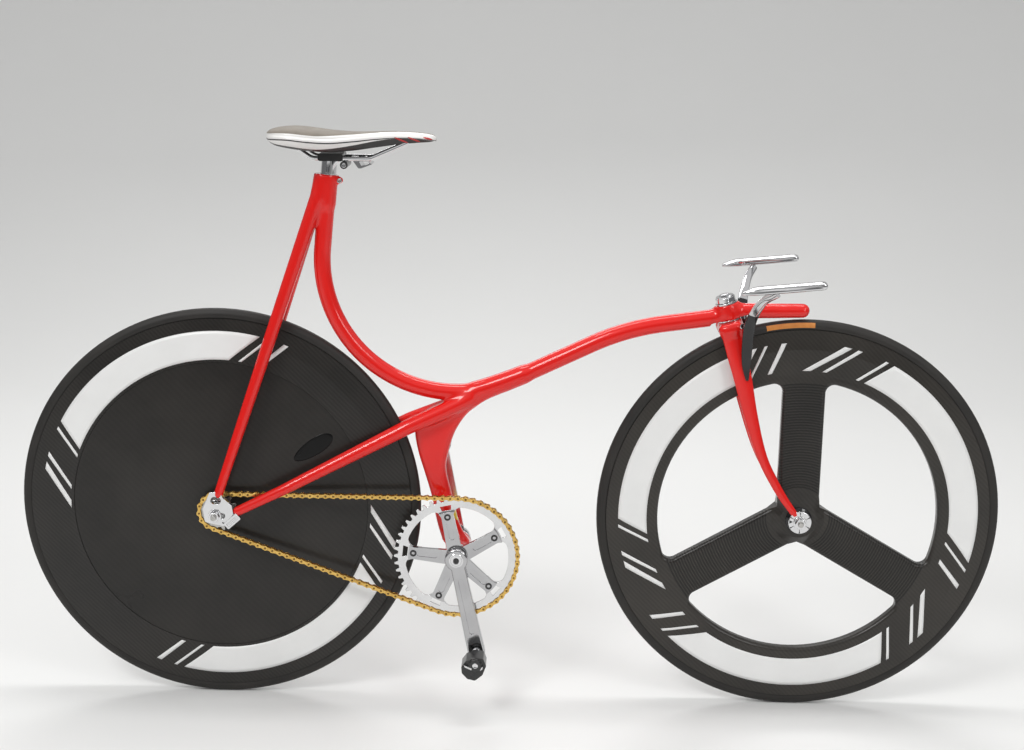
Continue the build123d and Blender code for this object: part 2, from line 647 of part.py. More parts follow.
arm_in = -spider_out
arm_out = arm_in + CRANK_T
reach_x = CRANK_LENGTH * sin(CRANK_ANGLE)
reach_z = CRANK_LENGTH * cos(CRANK_ANGLE)
crank_end = Vector(BRACKET_X + reach_x, 0, BRACKET_Z - reach_z)
other_end = Vector(BRACKET_X - reach_x, 0, BRACKET_Z + reach_z)
spindle = across(SPINDLE_R, -arm_out, arm_out, BRACKET_X, BRACKET_Z)
right_hole = across(PEDAL_AXLE_R, -arm_in, -arm_out, crank_end.X, crank_end.Z)
left_hole = across(PEDAL_AXLE_R, arm_in, arm_out, other_end.X, other_end.Z)
right_arm = crank_arm(-arm_in, -arm_out, crank_turn)
left_arm = crank_arm(arm_in, arm_out, crank_turn + 180.0)
parts["crank_spindle"] = spindle
parts["crank_right"] = spider + right_arm - spindle - right_hole
parts["crank_left"] = left_arm - spindle - left_hole

# Pedals: an axle fixed in the crank's end and a compact body that turns on it
pedal_in = arm_out + PEDAL_STANDOFF
pedal_out = pedal_in + PEDAL_W
pedal_face = make_face(Polyline(*PEDAL_OUTLINE, close=True))
pedal_face = fillet(pedal_face.vertices(), PEDAL_FILLET)
for side, name, at in ((-1, "right", crank_end), (1, "left", other_end)):
    axle_tip = side * (pedal_out - PEDAL_CAP - 1.0)
    axle = across(PEDAL_AXLE_R, side * arm_in, axle_tip, at.X, at.Z)
    collar_out = side * (arm_out + PEDAL_COLLAR_W)
    collar = across(PEDAL_COLLAR_R, side * arm_out, collar_out, at.X, at.Z)
    parts["pedal_axle_" + name] = axle + collar
    barrel = across(PEDAL_BARREL_R, side * pedal_in, side * pedal_out, at.X, at.Z)
    middle = (pedal_in + pedal_out) / 2 * side
    cheek = PEDAL_W * PEDAL_CHEEK
    body = side_plate(pedal_face, middle - cheek, middle + cheek, at.X, at.Z)
    bore_end = side * (pedal_out - PEDAL_CAP)
    bore = across(PEDAL_AXLE_R + AXLE_GAP, side * pedal_in, bore_end, at.X, at.Z)
    parts["pedal_" + name] = barrel + body - bore

# Rear hub, cog and lockring, front hub
rear_half = REAR_SPACING / 2 - RUN_GAP
rear_bore = REAR_AXLE_R + AXLE_GAP
parts["rear_hub"] = turned((
    (rear_bore, -rear_half), (HUB_END_R, -rear_half), (HUB_END_R, -LOCK_END),
    (COG_SEAT_R, -LOCK_END), (COG_SEAT_R, -COG_SHOULDER), (HUB_R, -COG_SHOULDER),
    (HUB_R, HUB_LEFT_STEP), (HUB_END_R, HUB_LEFT_STEP), (HUB_END_R, rear_half), (rear_bore, rear_half),
), 0, WHEEL_R)
first_pin = (int((ring_arc + run) / link) + 1) * link - ring_arc - run
cog_face = tooth_outline(COG_TEETH, cog_r, down - first_pin / cog_r) - Circle(COG_SEAT_R)
cog = side_plate(cog_face, ring_in, ring_out, 0, WHEEL_R)
spacer = Circle(COG_SPACER_R) - Circle(COG_SEAT_R)
parts["rear_cog"] = cog + side_plate(spacer, -COG_SHOULDER, ring_in, 0, WHEEL_R)
lock_face = Circle(LOCKRING_R) - Circle(COG_SEAT_R)
parts["lockring"] = side_plate(lock_face, ring_out, ring_out - LOCKRING_W, 0, WHEEL_R)
front_half = FRONT_SPACING / 2 - RUN_GAP
front_bore = FRONT_AXLE_R + AXLE_GAP
barrel_half = DISC_HUB_HALF + 2.0
parts["front_hub"] = turned((
    (front_bore, -front_half), (HUB_END_R, -front_half), (HUB_R, -barrel_half),
    (HUB_R, barrel_half), (HUB_END_R, front_half), (front_bore, front_half),
), WHEELBASE, WHEEL_R)

AXLES = (
    # wheel, its place, the washers' seat, the axle's radius
    ("rear", 0.0, dropout_out, REAR_AXLE_R),
    ("front", WHEELBASE, FRONT_SPACING / 2 + FORK_END_T, FRONT_AXLE_R),
)
for name, x, seat, axle_r in AXLES:
    nut_in = seat + WASHER_W
    nut_out = nut_in + NUT_W
    tip = nut_out + AXLE_STUB
    shaft = across(axle_r, -nut_out, nut_out, x, WHEEL_R)
    parts[name + "_axle"] = shaft + across(axle_r - STUB_STEP, -tip, tip, x, WHEEL_R)
    fasteners = []
    for side in (-1, 1):
        washer = across(WASHER_R, side * seat, side * nut_in, x, WHEEL_R)
        nut = side_plate(RegularPolygon(NUT_R, 6), side * nut_in, side * nut_out, x, WHEEL_R)
        fasteners.append(washer + nut - shaft)
    parts[name + "_axle_nuts"] = fasteners[0] + fasteners[1]

# Chain: two side strips that straddle the teeth, the outer one waisted between its pins,
# joined by pins along the two free runs
strip_in = TOOTH_W / 2 + PLATE_GAP
strip_out = strip_in + PLATE_T
strip_edges = {"waisted out": [], "waisted in": [], "plain out": [], "plain in": []}
for i in range(2 * links):
    at, out = pitch_line(i * link / 2)
    half = PLATE_H / 2 if i % 2 == 0 else PLATE_WAIST / 2
    strip_edges["waisted out"].append(tuple(at + out * half)[:2])
    strip_edges["waisted in"].append(tuple(at - out * half)[:2])
    if i % 2 == 0:
        strip_edges["plain out"].append(tuple(at + out * half)[:2])
        strip_edges["plain in"].append(tuple(at - out * half)[:2])
outlines = {key: make_face(Polyline(*points, close=True)) for key, points in strip_edges.items()}
near_face = outlines["waisted out"] - outlines["waisted in"]
far_face = outlines["plain out"] - outlines["plain in"]
near_strip = side_plate(near_face, -CHAIN_LINE - strip_out, -CHAIN_LINE - strip_in)
far_strip = side_plate(far_face, -CHAIN_LINE + strip_in, -CHAIN_LINE + strip_out)
low_run = (ring_arc + PIN_CLEAR * CHAIN_PITCH, ring_arc + run - PIN_CLEAR * CHAIN_PITCH)
top_start = ring_arc + run + cog_arc
top_run = (top_start + PIN_CLEAR * CHAIN_PITCH, chain_length - PIN_CLEAR * CHAIN_PITCH)
pins = []
for i in range(links):
    s = i * link
    if low_run[0] < s < low_run[1] or top_run[0] < s < top_run[1]:
        at, out = pitch_line(s)
        pin_half = strip_in + 0.2
        roller = RegularPolygon(ROLLER_R, 6)
        pins.append(side_plate(roller, -CHAIN_LINE - pin_half, -CHAIN_LINE + pin_half, at.X, at.Y))
parts["chain"] = near_strip + far_strip + pins

# Fork: blades, crown and steerer, all set out along the steering line
blade_points = [(q, y, s) for s, q, y, chord, thick in BLADES]
blade_ways = tangents(blade_points)
blade_ways[0] = Vector(0, 0, -1)
sections = []
for (s, q, y, chord, thick), way in zip(BLADES, blade_ways):
    sections.append(slot_section((q, y, s), way, chord, thick))
blade = loft(sections)
crown_neck = HEAD_LOW - RACE_W - RUN_GAP - CROWN_S
steerer_top = HEAD_HIGH + RACE_W + LOCKNUT_H
crown_face = Pos(-CROWN_BACK, 0, CROWN_S) * RectangleRounded(CROWN_LONG, 2 * CROWN_HALF, CROWN_ROUND)
crown = extrude(crown_face, amount=CROWN_T)
neck = Cone(HEAD_R + CROWN_FLARE, HEAD_R - 1.0, crown_neck, align=ABOVE)
crown = crown + Pos(0, 0, CROWN_S) * (neck & Box(CROWN_LONG, 2 * CROWN_HALF, 2 * crown_neck))
steerer = Pos(0, 0, CROWN_S) * Cylinder(STEERER_R, steerer_top - CROWN_S, align=ABOVE)
parts["fork_crown"] = STEER.location * (crown + steerer)
end_in = FRONT_SPACING / 2
end_out = end_in + FORK_END_T
fork_end = across(FORK_END_R, end_in, end_out, WHEELBASE, WHEEL_R)
blade_cut = across(FORK_END_R, 0, 2 * FRONT_SPACING, WHEELBASE, WHEEL_R)
axle_hole = across(FRONT_AXLE_R + AXLE_GAP, end_in, end_out, WHEELBASE, WHEEL_R)
locknut = Pos(0, 0, HEAD_HIGH + RACE_W + RUN_GAP) * Cylinder(LOCKNUT_R, LOCKNUT_H, align=ABOVE)
locknut = locknut + Pos(0, 0, steerer_top) * Cylinder(STEM_CAP_R, STEM_CAP_H, align=ABOVE)
parts["headset_locknut"] = STEER.location * (locknut - steerer)

# Bars: a curved blade post up from each fork blade, and a flat handle on its top
post_points = [(q, y, CROWN_S + s) for q, y, s, chord, thick in POST_PATH]
post_ways = tangents(post_points)
post_sections = []
for place, (q, y, s, chord, thick), way in zip(post_points, POST_PATH, post_ways):
    post_sections.append(slot_section(place, way, chord, thick))
bar_post = loft(post_sections)

handle_line = Vector(HANDLE_FRONT[0] - HANDLE_REAR[0], 0, HANDLE_FRONT[1] - HANDLE_REAR[1])
handle_plane = Plane(
    origin=(HANDLE_REAR[0], HANDLE_Y, CROWN_S + HANDLE_REAR[1]),
    x_dir=(0, 1, 0),
    z_dir=handle_line.normalized(),
)
handle_sections = []
for along, width, height in HANDLE_ROWS:
    handle_sections.append(handle_plane.offset(along) * SlotOverall(width, height))
handle = loft(handle_sections, ruled=True)
groove_l, groove_h, groove_d = HANDLE_GROOVE
side_groove = Box(2 * groove_d, groove_h, groove_l)
groove_x = HANDLE_ROWS[1][1] / 2
for edge in (-groove_x, groove_x):
    handle = handle - handle_plane.location * Pos(edge, 0, HANDLE_GROOVE_AT) * side_groove
for side, name in ((1, "left"), (-1, "right")):
    pieces = {
        "fork_blade_": STEER.location * blade - blade_cut,
        "fork_end_": fork_end - axle_hole,
        "bar_post_": STEER.location * (bar_post - blade - handle),
        "handle_": STEER.location * handle,
    }
    for start, solid in pieces.items():
        parts[start + name] = solid if side > 0 else mirrored(solid)

# Every piece is written with the origin at the middle of the saddle's top
if __name__ == "__main__":
    os.makedirs("parts", exist_ok=True)
    for name, solid in parts.items():
        export_step(Pos(-SADDLE_X, 0, -SADDLE_Z) * solid, "parts/" + name + ".step")
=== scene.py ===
import bmesh
import bpy
import json
import numpy as np
from math import asin, atan2, cos, hypot, pi, radians, sin, sqrt, tan
from mathutils import Matrix, Vector
from mathutils.bvhtree import BVHTree

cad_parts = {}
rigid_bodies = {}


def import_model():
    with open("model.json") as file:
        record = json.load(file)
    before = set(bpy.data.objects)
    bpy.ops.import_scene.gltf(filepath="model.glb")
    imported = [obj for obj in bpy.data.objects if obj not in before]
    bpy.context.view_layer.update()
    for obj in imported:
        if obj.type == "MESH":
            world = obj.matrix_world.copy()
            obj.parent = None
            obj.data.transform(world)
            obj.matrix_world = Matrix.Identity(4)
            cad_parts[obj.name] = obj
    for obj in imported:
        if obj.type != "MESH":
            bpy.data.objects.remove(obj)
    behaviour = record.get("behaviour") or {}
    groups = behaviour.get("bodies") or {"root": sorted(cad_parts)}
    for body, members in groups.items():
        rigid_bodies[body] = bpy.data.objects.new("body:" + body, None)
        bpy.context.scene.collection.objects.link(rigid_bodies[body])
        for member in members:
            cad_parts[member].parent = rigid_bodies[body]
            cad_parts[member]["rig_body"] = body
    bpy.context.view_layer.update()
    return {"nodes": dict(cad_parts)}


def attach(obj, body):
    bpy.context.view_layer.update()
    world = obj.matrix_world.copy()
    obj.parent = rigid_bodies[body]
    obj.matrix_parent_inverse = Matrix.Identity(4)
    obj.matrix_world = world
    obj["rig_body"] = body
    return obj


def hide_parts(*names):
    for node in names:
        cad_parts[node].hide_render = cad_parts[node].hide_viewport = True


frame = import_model()

# A steel track bicycle with a disc rear wheel and a three-spoke front wheel.
# Lengths are millimetres from the rear axle's foot on the floor, X forward, Y to the rider's left,
# and place() brings them into the model's frame, whose origin is the middle of the saddle's top.
MM = 0.001
SADDLE_X = 200.0
SADDLE_Z = 958.0
WHEEL_R = 334.0
WHEELBASE = 961.0
BRACKET_X = 396.0
BRACKET_Z = 264.0
HEAD_ANGLE = radians(74.5)
FORK_RAKE = 33.0
FOOT_X = WHEELBASE - FORK_RAKE * sin(HEAD_ANGLE)
FOOT_Z = WHEEL_R - FORK_RAKE * cos(HEAD_ANGLE)

# Camera, as fitted to the photograph
CAMERA_AT = (0.3176, -2.533, 0.1881)
CAMERA_YAW = 0.014
CAMERA_PITCH = 0.2253
CAMERA_ROLL = -0.0168
FOCAL_PIXELS = 1583.0
PHOTO_WIDTH = 1024.0
SENSOR = 36.0


def place(x, y, z):
    """A point of the bicycle in the model's frame, in metres."""
    return Vector(((x - SADDLE_X) * MM, y * MM, (z - SADDLE_Z) * MM))


def steer(q, y, s):
    """Millimetres forward of, beside and up the steering line, as bicycle millimetres."""
    x = FOOT_X + q * sin(HEAD_ANGLE) - s * cos(HEAD_ANGLE)
    z = FOOT_Z + q * cos(HEAD_ANGLE) + s * sin(HEAD_ANGLE)
    return (x, y, z)


# Shader nodes


def put(tree, kind, **values):
    """Adds a node; values are its properties, or its inputs by name or number."""
    made = tree.nodes.new(kind)
    for name, value in values.items():
        if hasattr(made, name):
            setattr(made, name, value)
        else:
            made.inputs[name.replace("_", " ")].default_value = value
    return made


def wire(tree, start, end):
    tree.links.new(start, end)


def calc(tree, operation, *terms, **values):
    """The result of a maths node; its terms are sockets or numbers."""
    made = put(tree, "ShaderNodeMath", operation=operation, **values)
    for i, term in enumerate(terms):
        if isinstance(term, float):
            made.inputs[i].default_value = term
        else:
            wire(tree, term, made.inputs[i])
    return made.outputs[0]


def ranged(tree, value, start, end, low, high, **values):
    """Brings a value's range from start to end onto the one from low to high."""
    made = put(tree, "ShaderNodeMapRange", **values)
    for label, number in (("From Min", start), ("From Max", end), ("To Min", low), ("To Max", high)):
        made.inputs[label].default_value = number
    wire(tree, value, made.inputs["Value"])
    return made.outputs["Result"]


def axes_of(tree, space="Object"):
    """The three axes of a shader's coordinates."""
    where = put(tree, "ShaderNodeTexCoord")
    axes = put(tree, "ShaderNodeSeparateXYZ")
    wire(tree, where.outputs[space], axes.inputs[0])
    return axes.outputs


def shaded(tree, shader, factor):
    """Multiplies a finish's colour by a factor."""
    made = put(tree, "ShaderNodeMix", data_type="RGBA", blend_type="MULTIPLY")
    made.inputs[0].default_value = 1.0
    wire(tree, shader.inputs["Base Color"].links[0].from_socket, made.inputs[6])
    wire(tree, factor, made.inputs[7])
    wire(tree, made.outputs[2], shader.inputs["Base Color"])


def bumped(tree, shader, height, strength, distance):
    """Lays a bump over a finish, on top of the one that it may have."""
    made = put(tree, "ShaderNodeBump", Strength=strength, Distance=distance)
    for link in shader.inputs["Normal"].links:
        wire(tree, link.from_socket, made.inputs["Normal"])
    wire(tree, height, made.inputs["Height"])
    wire(tree, made.outputs["Normal"], shader.inputs["Normal"])


def shader_group(name, inputs, outputs):
    """An empty node group with named inputs, given with their usual values, and named outputs."""
    tree = bpy.data.node_groups.new(name, "ShaderNodeTree")
    for label, value in inputs:
        socket = tree.interface.new_socket(label, in_out="INPUT", socket_type="NodeSocketFloat")
        socket.default_value = value
    for label in outputs:
        tree.interface.new_socket(label, in_out="OUTPUT", socket_type="NodeSocketFloat")
    return tree, put(tree, "NodeGroupInput"), put(tree, "NodeGroupOutput")


def cloudy_group():
    """Soft patches for handling marks, haze and colour drift."""
    tree, given, result = shader_group("Cloudy patches", [("Scale", 8.0), ("Contrast", 0.5)], ["Mask"])
    where = put(tree, "ShaderNodeTexCoord")
    noise = put(tree, "ShaderNodeTexNoise", Detail=4.0, Roughness=0.6)
    wire(tree, where.outputs["Object"], noise.inputs["Vector"])
    wire(tree, given.outputs["Scale"], noise.inputs["Scale"])
    spread = calc(tree, "SUBTRACT", noise.outputs["Fac"], 0.5)
    mask = calc(tree, "MULTIPLY_ADD", spread, given.outputs["Contrast"], 0.5, use_clamp=True)
    wire(tree, mask, result.inputs["Mask"])
    return tree


def grain_group():
    """Fine leather, cast or moulded grain: rounded cells with a little noise over them."""
    tree, given, result = shader_group("Fine grain", [("Scale", 900.0), ("Noise share", 0.4)], ["Height"])
    where = put(tree, "ShaderNodeTexCoord")
    cells = put(tree, "ShaderNodeTexVoronoi", feature="SMOOTH_F1")
    noise = put(tree, "ShaderNodeTexNoise", Detail=3.0)
    mix = put(tree, "ShaderNodeMix", data_type="FLOAT")
    wire(tree, where.outputs["Object"], cells.inputs["Vector"])
    wire(tree, where.outputs["Object"], noise.inputs["Vector"])
    wire(tree, given.outputs["Scale"], cells.inputs["Scale"])
    wire(tree, given.outputs["Scale"], noise.inputs["Scale"])
    wire(tree, given.outputs["Noise share"], mix.inputs[0])
    wire(tree, cells.outputs["Distance"], mix.inputs[2])
    wire(tree, noise.outputs["Fac"], mix.inputs[3])
    wire(tree, mix.outputs[0], result.inputs["Height"])
    return tree


def twill_group():
    """Woven tows on a wheel's side, two over and two under, seen as a faint diagonal weave."""
    tree, given, result = shader_group("Twill weave", [("Tow", 0.0022)], ["Mask", "Height"])
    axes = axes_of(tree)
    shares = [calc(tree, "DIVIDE", axes[axis], given.outputs["Tow"]) for axis in ("X", "Z")]
    total = calc(tree, "ADD", *[calc(tree, "FLOOR", share) for share in shares])
    over = calc(tree, "LESS_THAN", calc(tree, "FLOORED_MODULO", total, 4.0), 2.0)
    tows = put(tree, "ShaderNodeMix", data_type="FLOAT")
    wire(tree, over, tows.inputs[0])
    wire(tree, calc(tree, "PINGPONG", shares[0], 0.5), tows.inputs[2])
    wire(tree, calc(tree, "PINGPONG", shares[1], 0.5), tows.inputs[3])
    wire(tree, over, result.inputs["Mask"])
    wire(tree, tows.outputs[0], result.inputs["Height"])
    return tree


def brushed_group():
    """Long fine lines of a polishing wheel, along the bicycle's length."""
    tree, given, result = shader_group("Polishing lines", [("Fineness", 1800.0)], ["Height"])
    where = put(tree, "ShaderNodeTexCoord")
    stretch = put(tree, "ShaderNodeMapping")
    stretch.inputs["Scale"].default_value = (0.05, 1.0, 1.0)
    noise = put(tree, "ShaderNodeTexNoise", Detail=2.0)
    wire(tree, where.outputs["Object"], stretch.inputs["Vector"])
    wire(tree, stretch.outputs[0], noise.inputs["Vector"])
    wire(tree, given.outputs["Fineness"], noise.inputs["Scale"])
    wire(tree, noise.outputs["Fac"], result.inputs["Height"])
    return tree


def ribs_group():
    """Fine ribs across a wheel's spokes: rings about its axle, from one radius to another."""
    given_values = [("Centre X", 0.0), ("Centre Z", 0.0), ("Pitch", 0.0046), ("From", 0.052), ("To", 0.23)]
    tree, given, result = shader_group("Spoke ribs", given_values, ["Height"])
    axes = axes_of(tree)
    flat = put(tree, "ShaderNodeCombineXYZ")
    for axis in ("X", "Z"):
        away = calc(tree, "SUBTRACT", axes[axis], given.outputs["Centre " + axis])
        wire(tree, away, flat.inputs[axis])
    length = put(tree, "ShaderNodeVectorMath", operation="LENGTH")
    wire(tree, flat.outputs[0], length.inputs[0])
    radius = length.outputs["Value"]
    fold = calc(tree, "PINGPONG", calc(tree, "DIVIDE", radius, given.outputs["Pitch"]), 0.5)
    inside = calc(tree, "LESS_THAN", radius, given.outputs["To"])
    beyond = calc(tree, "GREATER_THAN", radius, given.outputs["From"])
    height = calc(tree, "MULTIPLY", calc(tree, "MULTIPLY", inside, beyond), fold)
    wire(tree, height, result.inputs["Height"])
    return tree


CLOUDY = cloudy_group()
RIBS = ribs_group()
GRAIN = grain_group()
TWILL = twill_group()
BRUSHED = brushed_group()
GRAIN_STRENGTH = 0.6
WEAVE_DEPTH = 0.00012
RIB_SHADE = -0.6
RIB_STRENGTH = 0.8
RIB_DEPTH = 0.0016


def use(tree, group, **values):
    made = tree.nodes.new("ShaderNodeGroup")
    made.node_tree = group
    for name, value in values.items():
        made.inputs[name.replace("_", " ")].default_value = value
    return made


def finish_of(name, colour, tint, rough, patches=(8.0, 1.5), grain=None, depth=0.00004, **shader_values):
    """A finish: two colours and two roughnesses in soft patches, with a fine bump over them."""
    material = bpy.data.materials.new(name)
    material.use_nodes = True
    tree = material.node_tree
    shader = tree.nodes["Principled BSDF"]
    for label, value in shader_values.items():
        shader.inputs[label.replace("_", " ")].default_value = value
    mask = use(tree, CLOUDY, Scale=patches[0], Contrast=patches[1])
    colours = put(tree, "ShaderNodeMix", data_type="RGBA")
    colours.inputs[6].default_value = (*colour, 1.0)
    colours.inputs[7].default_value = (*tint, 1.0)
    wire(tree, mask.outputs["Mask"], colours.inputs[0])
    wire(tree, colours.outputs[2], shader.inputs["Base Color"])
    wire(tree, ranged(tree, mask.outputs["Mask"], 0.0, 1.0, *rough), shader.inputs["Roughness"])
    if grain:
        source, values = grain
        lines = use(tree, source, **values)
        bumped(tree, shader, lines.outputs["Height"], GRAIN_STRENGTH, depth)
    return material


RED_PAINT = finish_of(
    "Red enamel", (0.80, 0.012, 0.008), (0.70, 0.008, 0.006), (0.20, 0.30), patches=(5.0, 1.2),
    grain=(GRAIN, {"Scale": 260.0, "Noise_share": 0.9}), depth=0.00001,
    Specular_IOR_Level=0.2, Coat_Weight=0.8, Coat_Roughness=0.03, Coat_IOR=1.45,
)
CHROME = finish_of(
    "Chrome", (0.74, 0.74, 0.75), (0.64, 0.64, 0.65), (0.04, 0.11), patches=(30.0, 1.6), Metallic=1.0,
)
POLISHED = finish_of(
    "Polished alloy", (0.80, 0.80, 0.80), (0.70, 0.70, 0.71), (0.16, 0.30), patches=(24.0, 1.6),
    grain=(BRUSHED, {"Fineness": 1500.0}), depth=0.00001, Metallic=1.0,
)
# The right crank's polished alloy, given a darker colour than the left crank's as a painted dark reflection.
CRANK_PAINTED_DARK_REFLECTION = finish_of(
    "Crank alloy with painted dark reflection", (0.42, 0.42, 0.43), (0.54, 0.54, 0.55), (0.07, 0.16), patches=(18.0, 1.8),
    Metallic=1.0,
)
# Near-black mirror finish: used on the front hub, and on the lower parts of the chrome bar posts as a painted
# dark reflection of the surroundings.
DARK_HUB_AND_POST_REFLECTION = finish_of(
    "Near-black hub finish and painted post reflection", (0.008, 0.008, 0.009), (0.016, 0.016, 0.017), (0.05, 0.12), patches=(30.0, 1.4),
    Specular_IOR_Level=0.3, Coat_Weight=0.4, Coat_Roughness=0.04,
)
STEEL = finish_of(
    "Bare steel", (0.62, 0.61, 0.59), (0.42, 0.41, 0.39), (0.25, 0.42), patches=(60.0, 1.8),
    grain=(GRAIN, {"Scale": 1500.0, "Noise_share": 0.7}), depth=0.00002, Metallic=1.0,
)
BLACK_METAL = finish_of(
    "Black pedal metal", (0.018, 0.018, 0.019), (0.035, 0.034, 0.033), (0.22, 0.38), patches=(40.0, 1.6),
    Metallic=0.4, Coat_Weight=0.4, Coat_Roughness=0.2,
)
GOLD = finish_of(
    "Gold chain plating", (0.83, 0.56, 0.17), (0.60, 0.36, 0.09), (0.18, 0.34), patches=(70.0, 2.0),
    Metallic=1.0,
)
# Darker gold for the rollers and pin ends: painted shade standing in for the dark gaps between the chain's
# plates.
CHAIN_GOLD_PAINTED_SHADE = finish_of(
    "Chain rollers and pins, darker gold as painted shade", (0.30, 0.18, 0.05), (0.16, 0.10, 0.04), (0.28, 0.45), patches=(70.0, 2.0),
    Metallic=1.0,
)
WHITE_VINYL = finish_of(
    "White wheel vinyl", (0.86, 0.86, 0.85), (0.78, 0.78, 0.77), (0.28, 0.40), patches=(12.0, 1.4),
    Coat_Weight=0.3, Coat_Roughness=0.2,
)
ORANGE_LABEL = finish_of(
    "Orange tyre patch", (0.62, 0.24, 0.045), (0.48, 0.16, 0.03), (0.45, 0.60), patches=(90.0, 1.8),
)
COVER_BLACK = finish_of(
    "Black cover lacquer", (0.004, 0.004, 0.004), (0.008, 0.008, 0.008), (0.10, 0.18), patches=(30.0, 1.2),
    Specular_IOR_Level=0.2,
)
YELLOW_BADGE = finish_of(
    "Yellow badge enamel", (0.86, 0.62, 0.03), (0.78, 0.52, 0.02), (0.18, 0.25), patches=(60.0, 1.2),
    Coat_Weight=0.8, Coat_Roughness=0.05,
)
SADDLE_GREY = finish_of(
    "Grey saddle suede", (0.225, 0.195, 0.155), (0.165, 0.142, 0.115), (0.68, 0.82), patches=(45.0, 1.6),
    grain=(GRAIN, {"Scale": 900.0, "Noise_share": 0.5}), depth=0.00012, Sheen_Weight=0.15,
)
SADDLE_WHITE = finish_of(
    "White saddle leather", (0.84, 0.83, 0.81), (0.74, 0.72, 0.70), (0.26, 0.36), patches=(30.0, 1.5),
    grain=(GRAIN, {"Scale": 1200.0, "Noise_share": 0.4}), depth=0.00005, Coat_Weight=0.4,
)
SADDLE_BLACK = finish_of(
    "Black saddle shell", (0.016, 0.015, 0.015), (0.035, 0.033, 0.032), (0.25, 0.42), patches=(30.0, 1.6),
    grain=(GRAIN, {"Scale": 1400.0, "Noise_share": 0.5}), depth=0.00005,
)
SADDLE_RED = finish_of(
    "Red saddle slash", (0.55, 0.03, 0.03), (0.45, 0.02, 0.02), (0.28, 0.36), patches=(30.0, 1.2),
)


def carbon_finish(name, dark, light, rough, tow, coat, contrast):
    """Lacquered carbon: a faint weave over soft patches of haze."""
    material = finish_of(
        name, dark, light, rough, patches=(6.0, 1.6),
        Specular_IOR_Level=0.22, Coat_Weight=coat, Coat_Roughness=0.12, Coat_IOR=1.35,
    )
    tree = material.node_tree
    shader = tree.nodes["Principled BSDF"]
    weave = use(tree, TWILL, Tow=tow)
    shaded(tree, shader, ranged(tree, weave.outputs["Mask"], 0.0, 1.0, 1.0 - contrast, 1.0 + contrast))
    bumped(tree, shader, weave.outputs["Height"], contrast, WEAVE_DEPTH)
    return material


def ribbed(material):
    """Adds the dark fine ribs across the front wheel's spokes to a carbon finish."""
    tree = material.node_tree
    shader = tree.nodes["Principled BSDF"]
    ribs = use(tree, RIBS, Centre_X=(WHEELBASE - SADDLE_X) * MM, Centre_Z=(WHEEL_R - SADDLE_Z) * MM)
    shaded(tree, shader, ranged(tree, ribs.outputs["Height"], 0.0, 1.0, 1.0, RIB_SHADE))
    bumped(tree, shader, ribs.outputs["Height"], RIB_STRENGTH, RIB_DEPTH)


CARBON = carbon_finish(
    "Carbon rim", (0.015, 0.014, 0.013), (0.030, 0.027, 0.024), (0.26, 0.40), 0.0020, 0.5, 0.16,
)
CARBON_DISC = carbon_finish(
    "Carbon disc", (0.013, 0.012, 0.011), (0.032, 0.029, 0.026), (0.24, 0.40), 0.0030, 0.35, 0.05,
)
CARBON_SPOKES = carbon_finish(
    "Carbon spokes", (0.022, 0.020, 0.018), (0.046, 0.041, 0.035), (0.28, 0.42), 0.0020, 0.5, 0.10,
)
ribbed(CARBON_SPOKES)
RUBBER = finish_of(
    "Tyre rubber", (0.018, 0.017, 0.016), (0.034, 0.031, 0.028), (0.46, 0.62), patches=(14.0, 1.6),
    grain=(GRAIN, {"Scale": 1400.0, "Noise_share": 0.3}), depth=0.00008, Specular_IOR_Level=0.3,
)


# Meshes


def piece(name, verts, faces, body, material, nodes=(), sharp=35.0):
    """A mesh in the model's frame that rides on a body and takes a finish."""
    mesh = bpy.data.meshes.new(name)
    mesh.from_pydata([tuple(v) for v in verts], [], faces)
    tidy = bmesh.new()
    tidy.from_mesh(mesh)
    bmesh.ops.recalc_face_normals(tidy, faces=tidy.faces)
    tidy.to_mesh(mesh)
    tidy.free()
    return dress(bpy.data.objects.new(name, mesh), body, material, nodes, sharp)


def dress(made, body, material, nodes=(), sharp=35.0):
    if made.name not in bpy.context.scene.collection.objects:
        bpy.context.scene.collection.objects.link(made)
    mesh = made.data
    mesh.polygons.foreach_set("use_smooth", [True] * len(mesh.polygons))
    mesh.set_sharp_from_angle(angle=radians(sharp))
    mesh.materials.clear()
    mesh.materials.append(material)
    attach(made, body)
    if nodes:
        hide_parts(*nodes)
    return made


def edged(made, width, segments=2, angle=30.0):
    """Rounds the sharp edges of a piece."""
    rounding = made.modifiers.new("Rounded edges", "BEVEL")
    rounding.width = width * MM
    rounding.segments = segments
    rounding.limit_method = "ANGLE"
    rounding.angle_limit = radians(angle)
    rounding.use_clamp_overlap = True
    return made


def skin(rings, looped=False):
    """Faces between rings of points, with the ends closed."""
    count = len(rings[0])
    verts = [p for ring in rings for p in ring]
    faces = []
    for i in range(len(rings) if looped else len(rings) - 1):
        low = i * count
        high = (i + 1) % len(rings) * count
        for j in range(count):
            after = (j + 1) % count
            faces.append((low + j, low + after, high + after, high + j))
    if not looped:
        faces.append(tuple(range(count - 1, -1, -1)))
        faces.append(tuple(range(len(verts) - count, len(verts))))
    return verts, faces


def lathe(profile, x, z, steps=160):
    """A closed profile of (radius, y) points turned about an axle."""
    rings = []
    for i in range(steps):
        turn = 2 * pi * i / steps
        rings.append([place(x + r * cos(turn), y, z + r * sin(turn)) for r, y in profile])
    return skin(rings, looped=True)


def spun(profile, at, axis, steps=24):
    """Rings of (radius, height, corners) turned about an axis; corners make a ring a polygon."""
    axis = Vector(axis).normalized()
    first = axis.orthogonal().normalized()
    second = axis.cross(first)
    centre = place(*at)
    rings = []
    for radius, height, corners in profile:
        ring = []
        for i in range(steps):
            turn = 2 * pi * i / steps
            reach = radius
            if corners:
                part = pi / corners
                reach = radius * cos(part) / cos(turn % (2 * part) - part)
            out = first * cos(turn) + second * sin(turn)
            ring.append(centre + (axis * height + out * reach) * MM)
        rings.append(ring)
    return skin(rings)


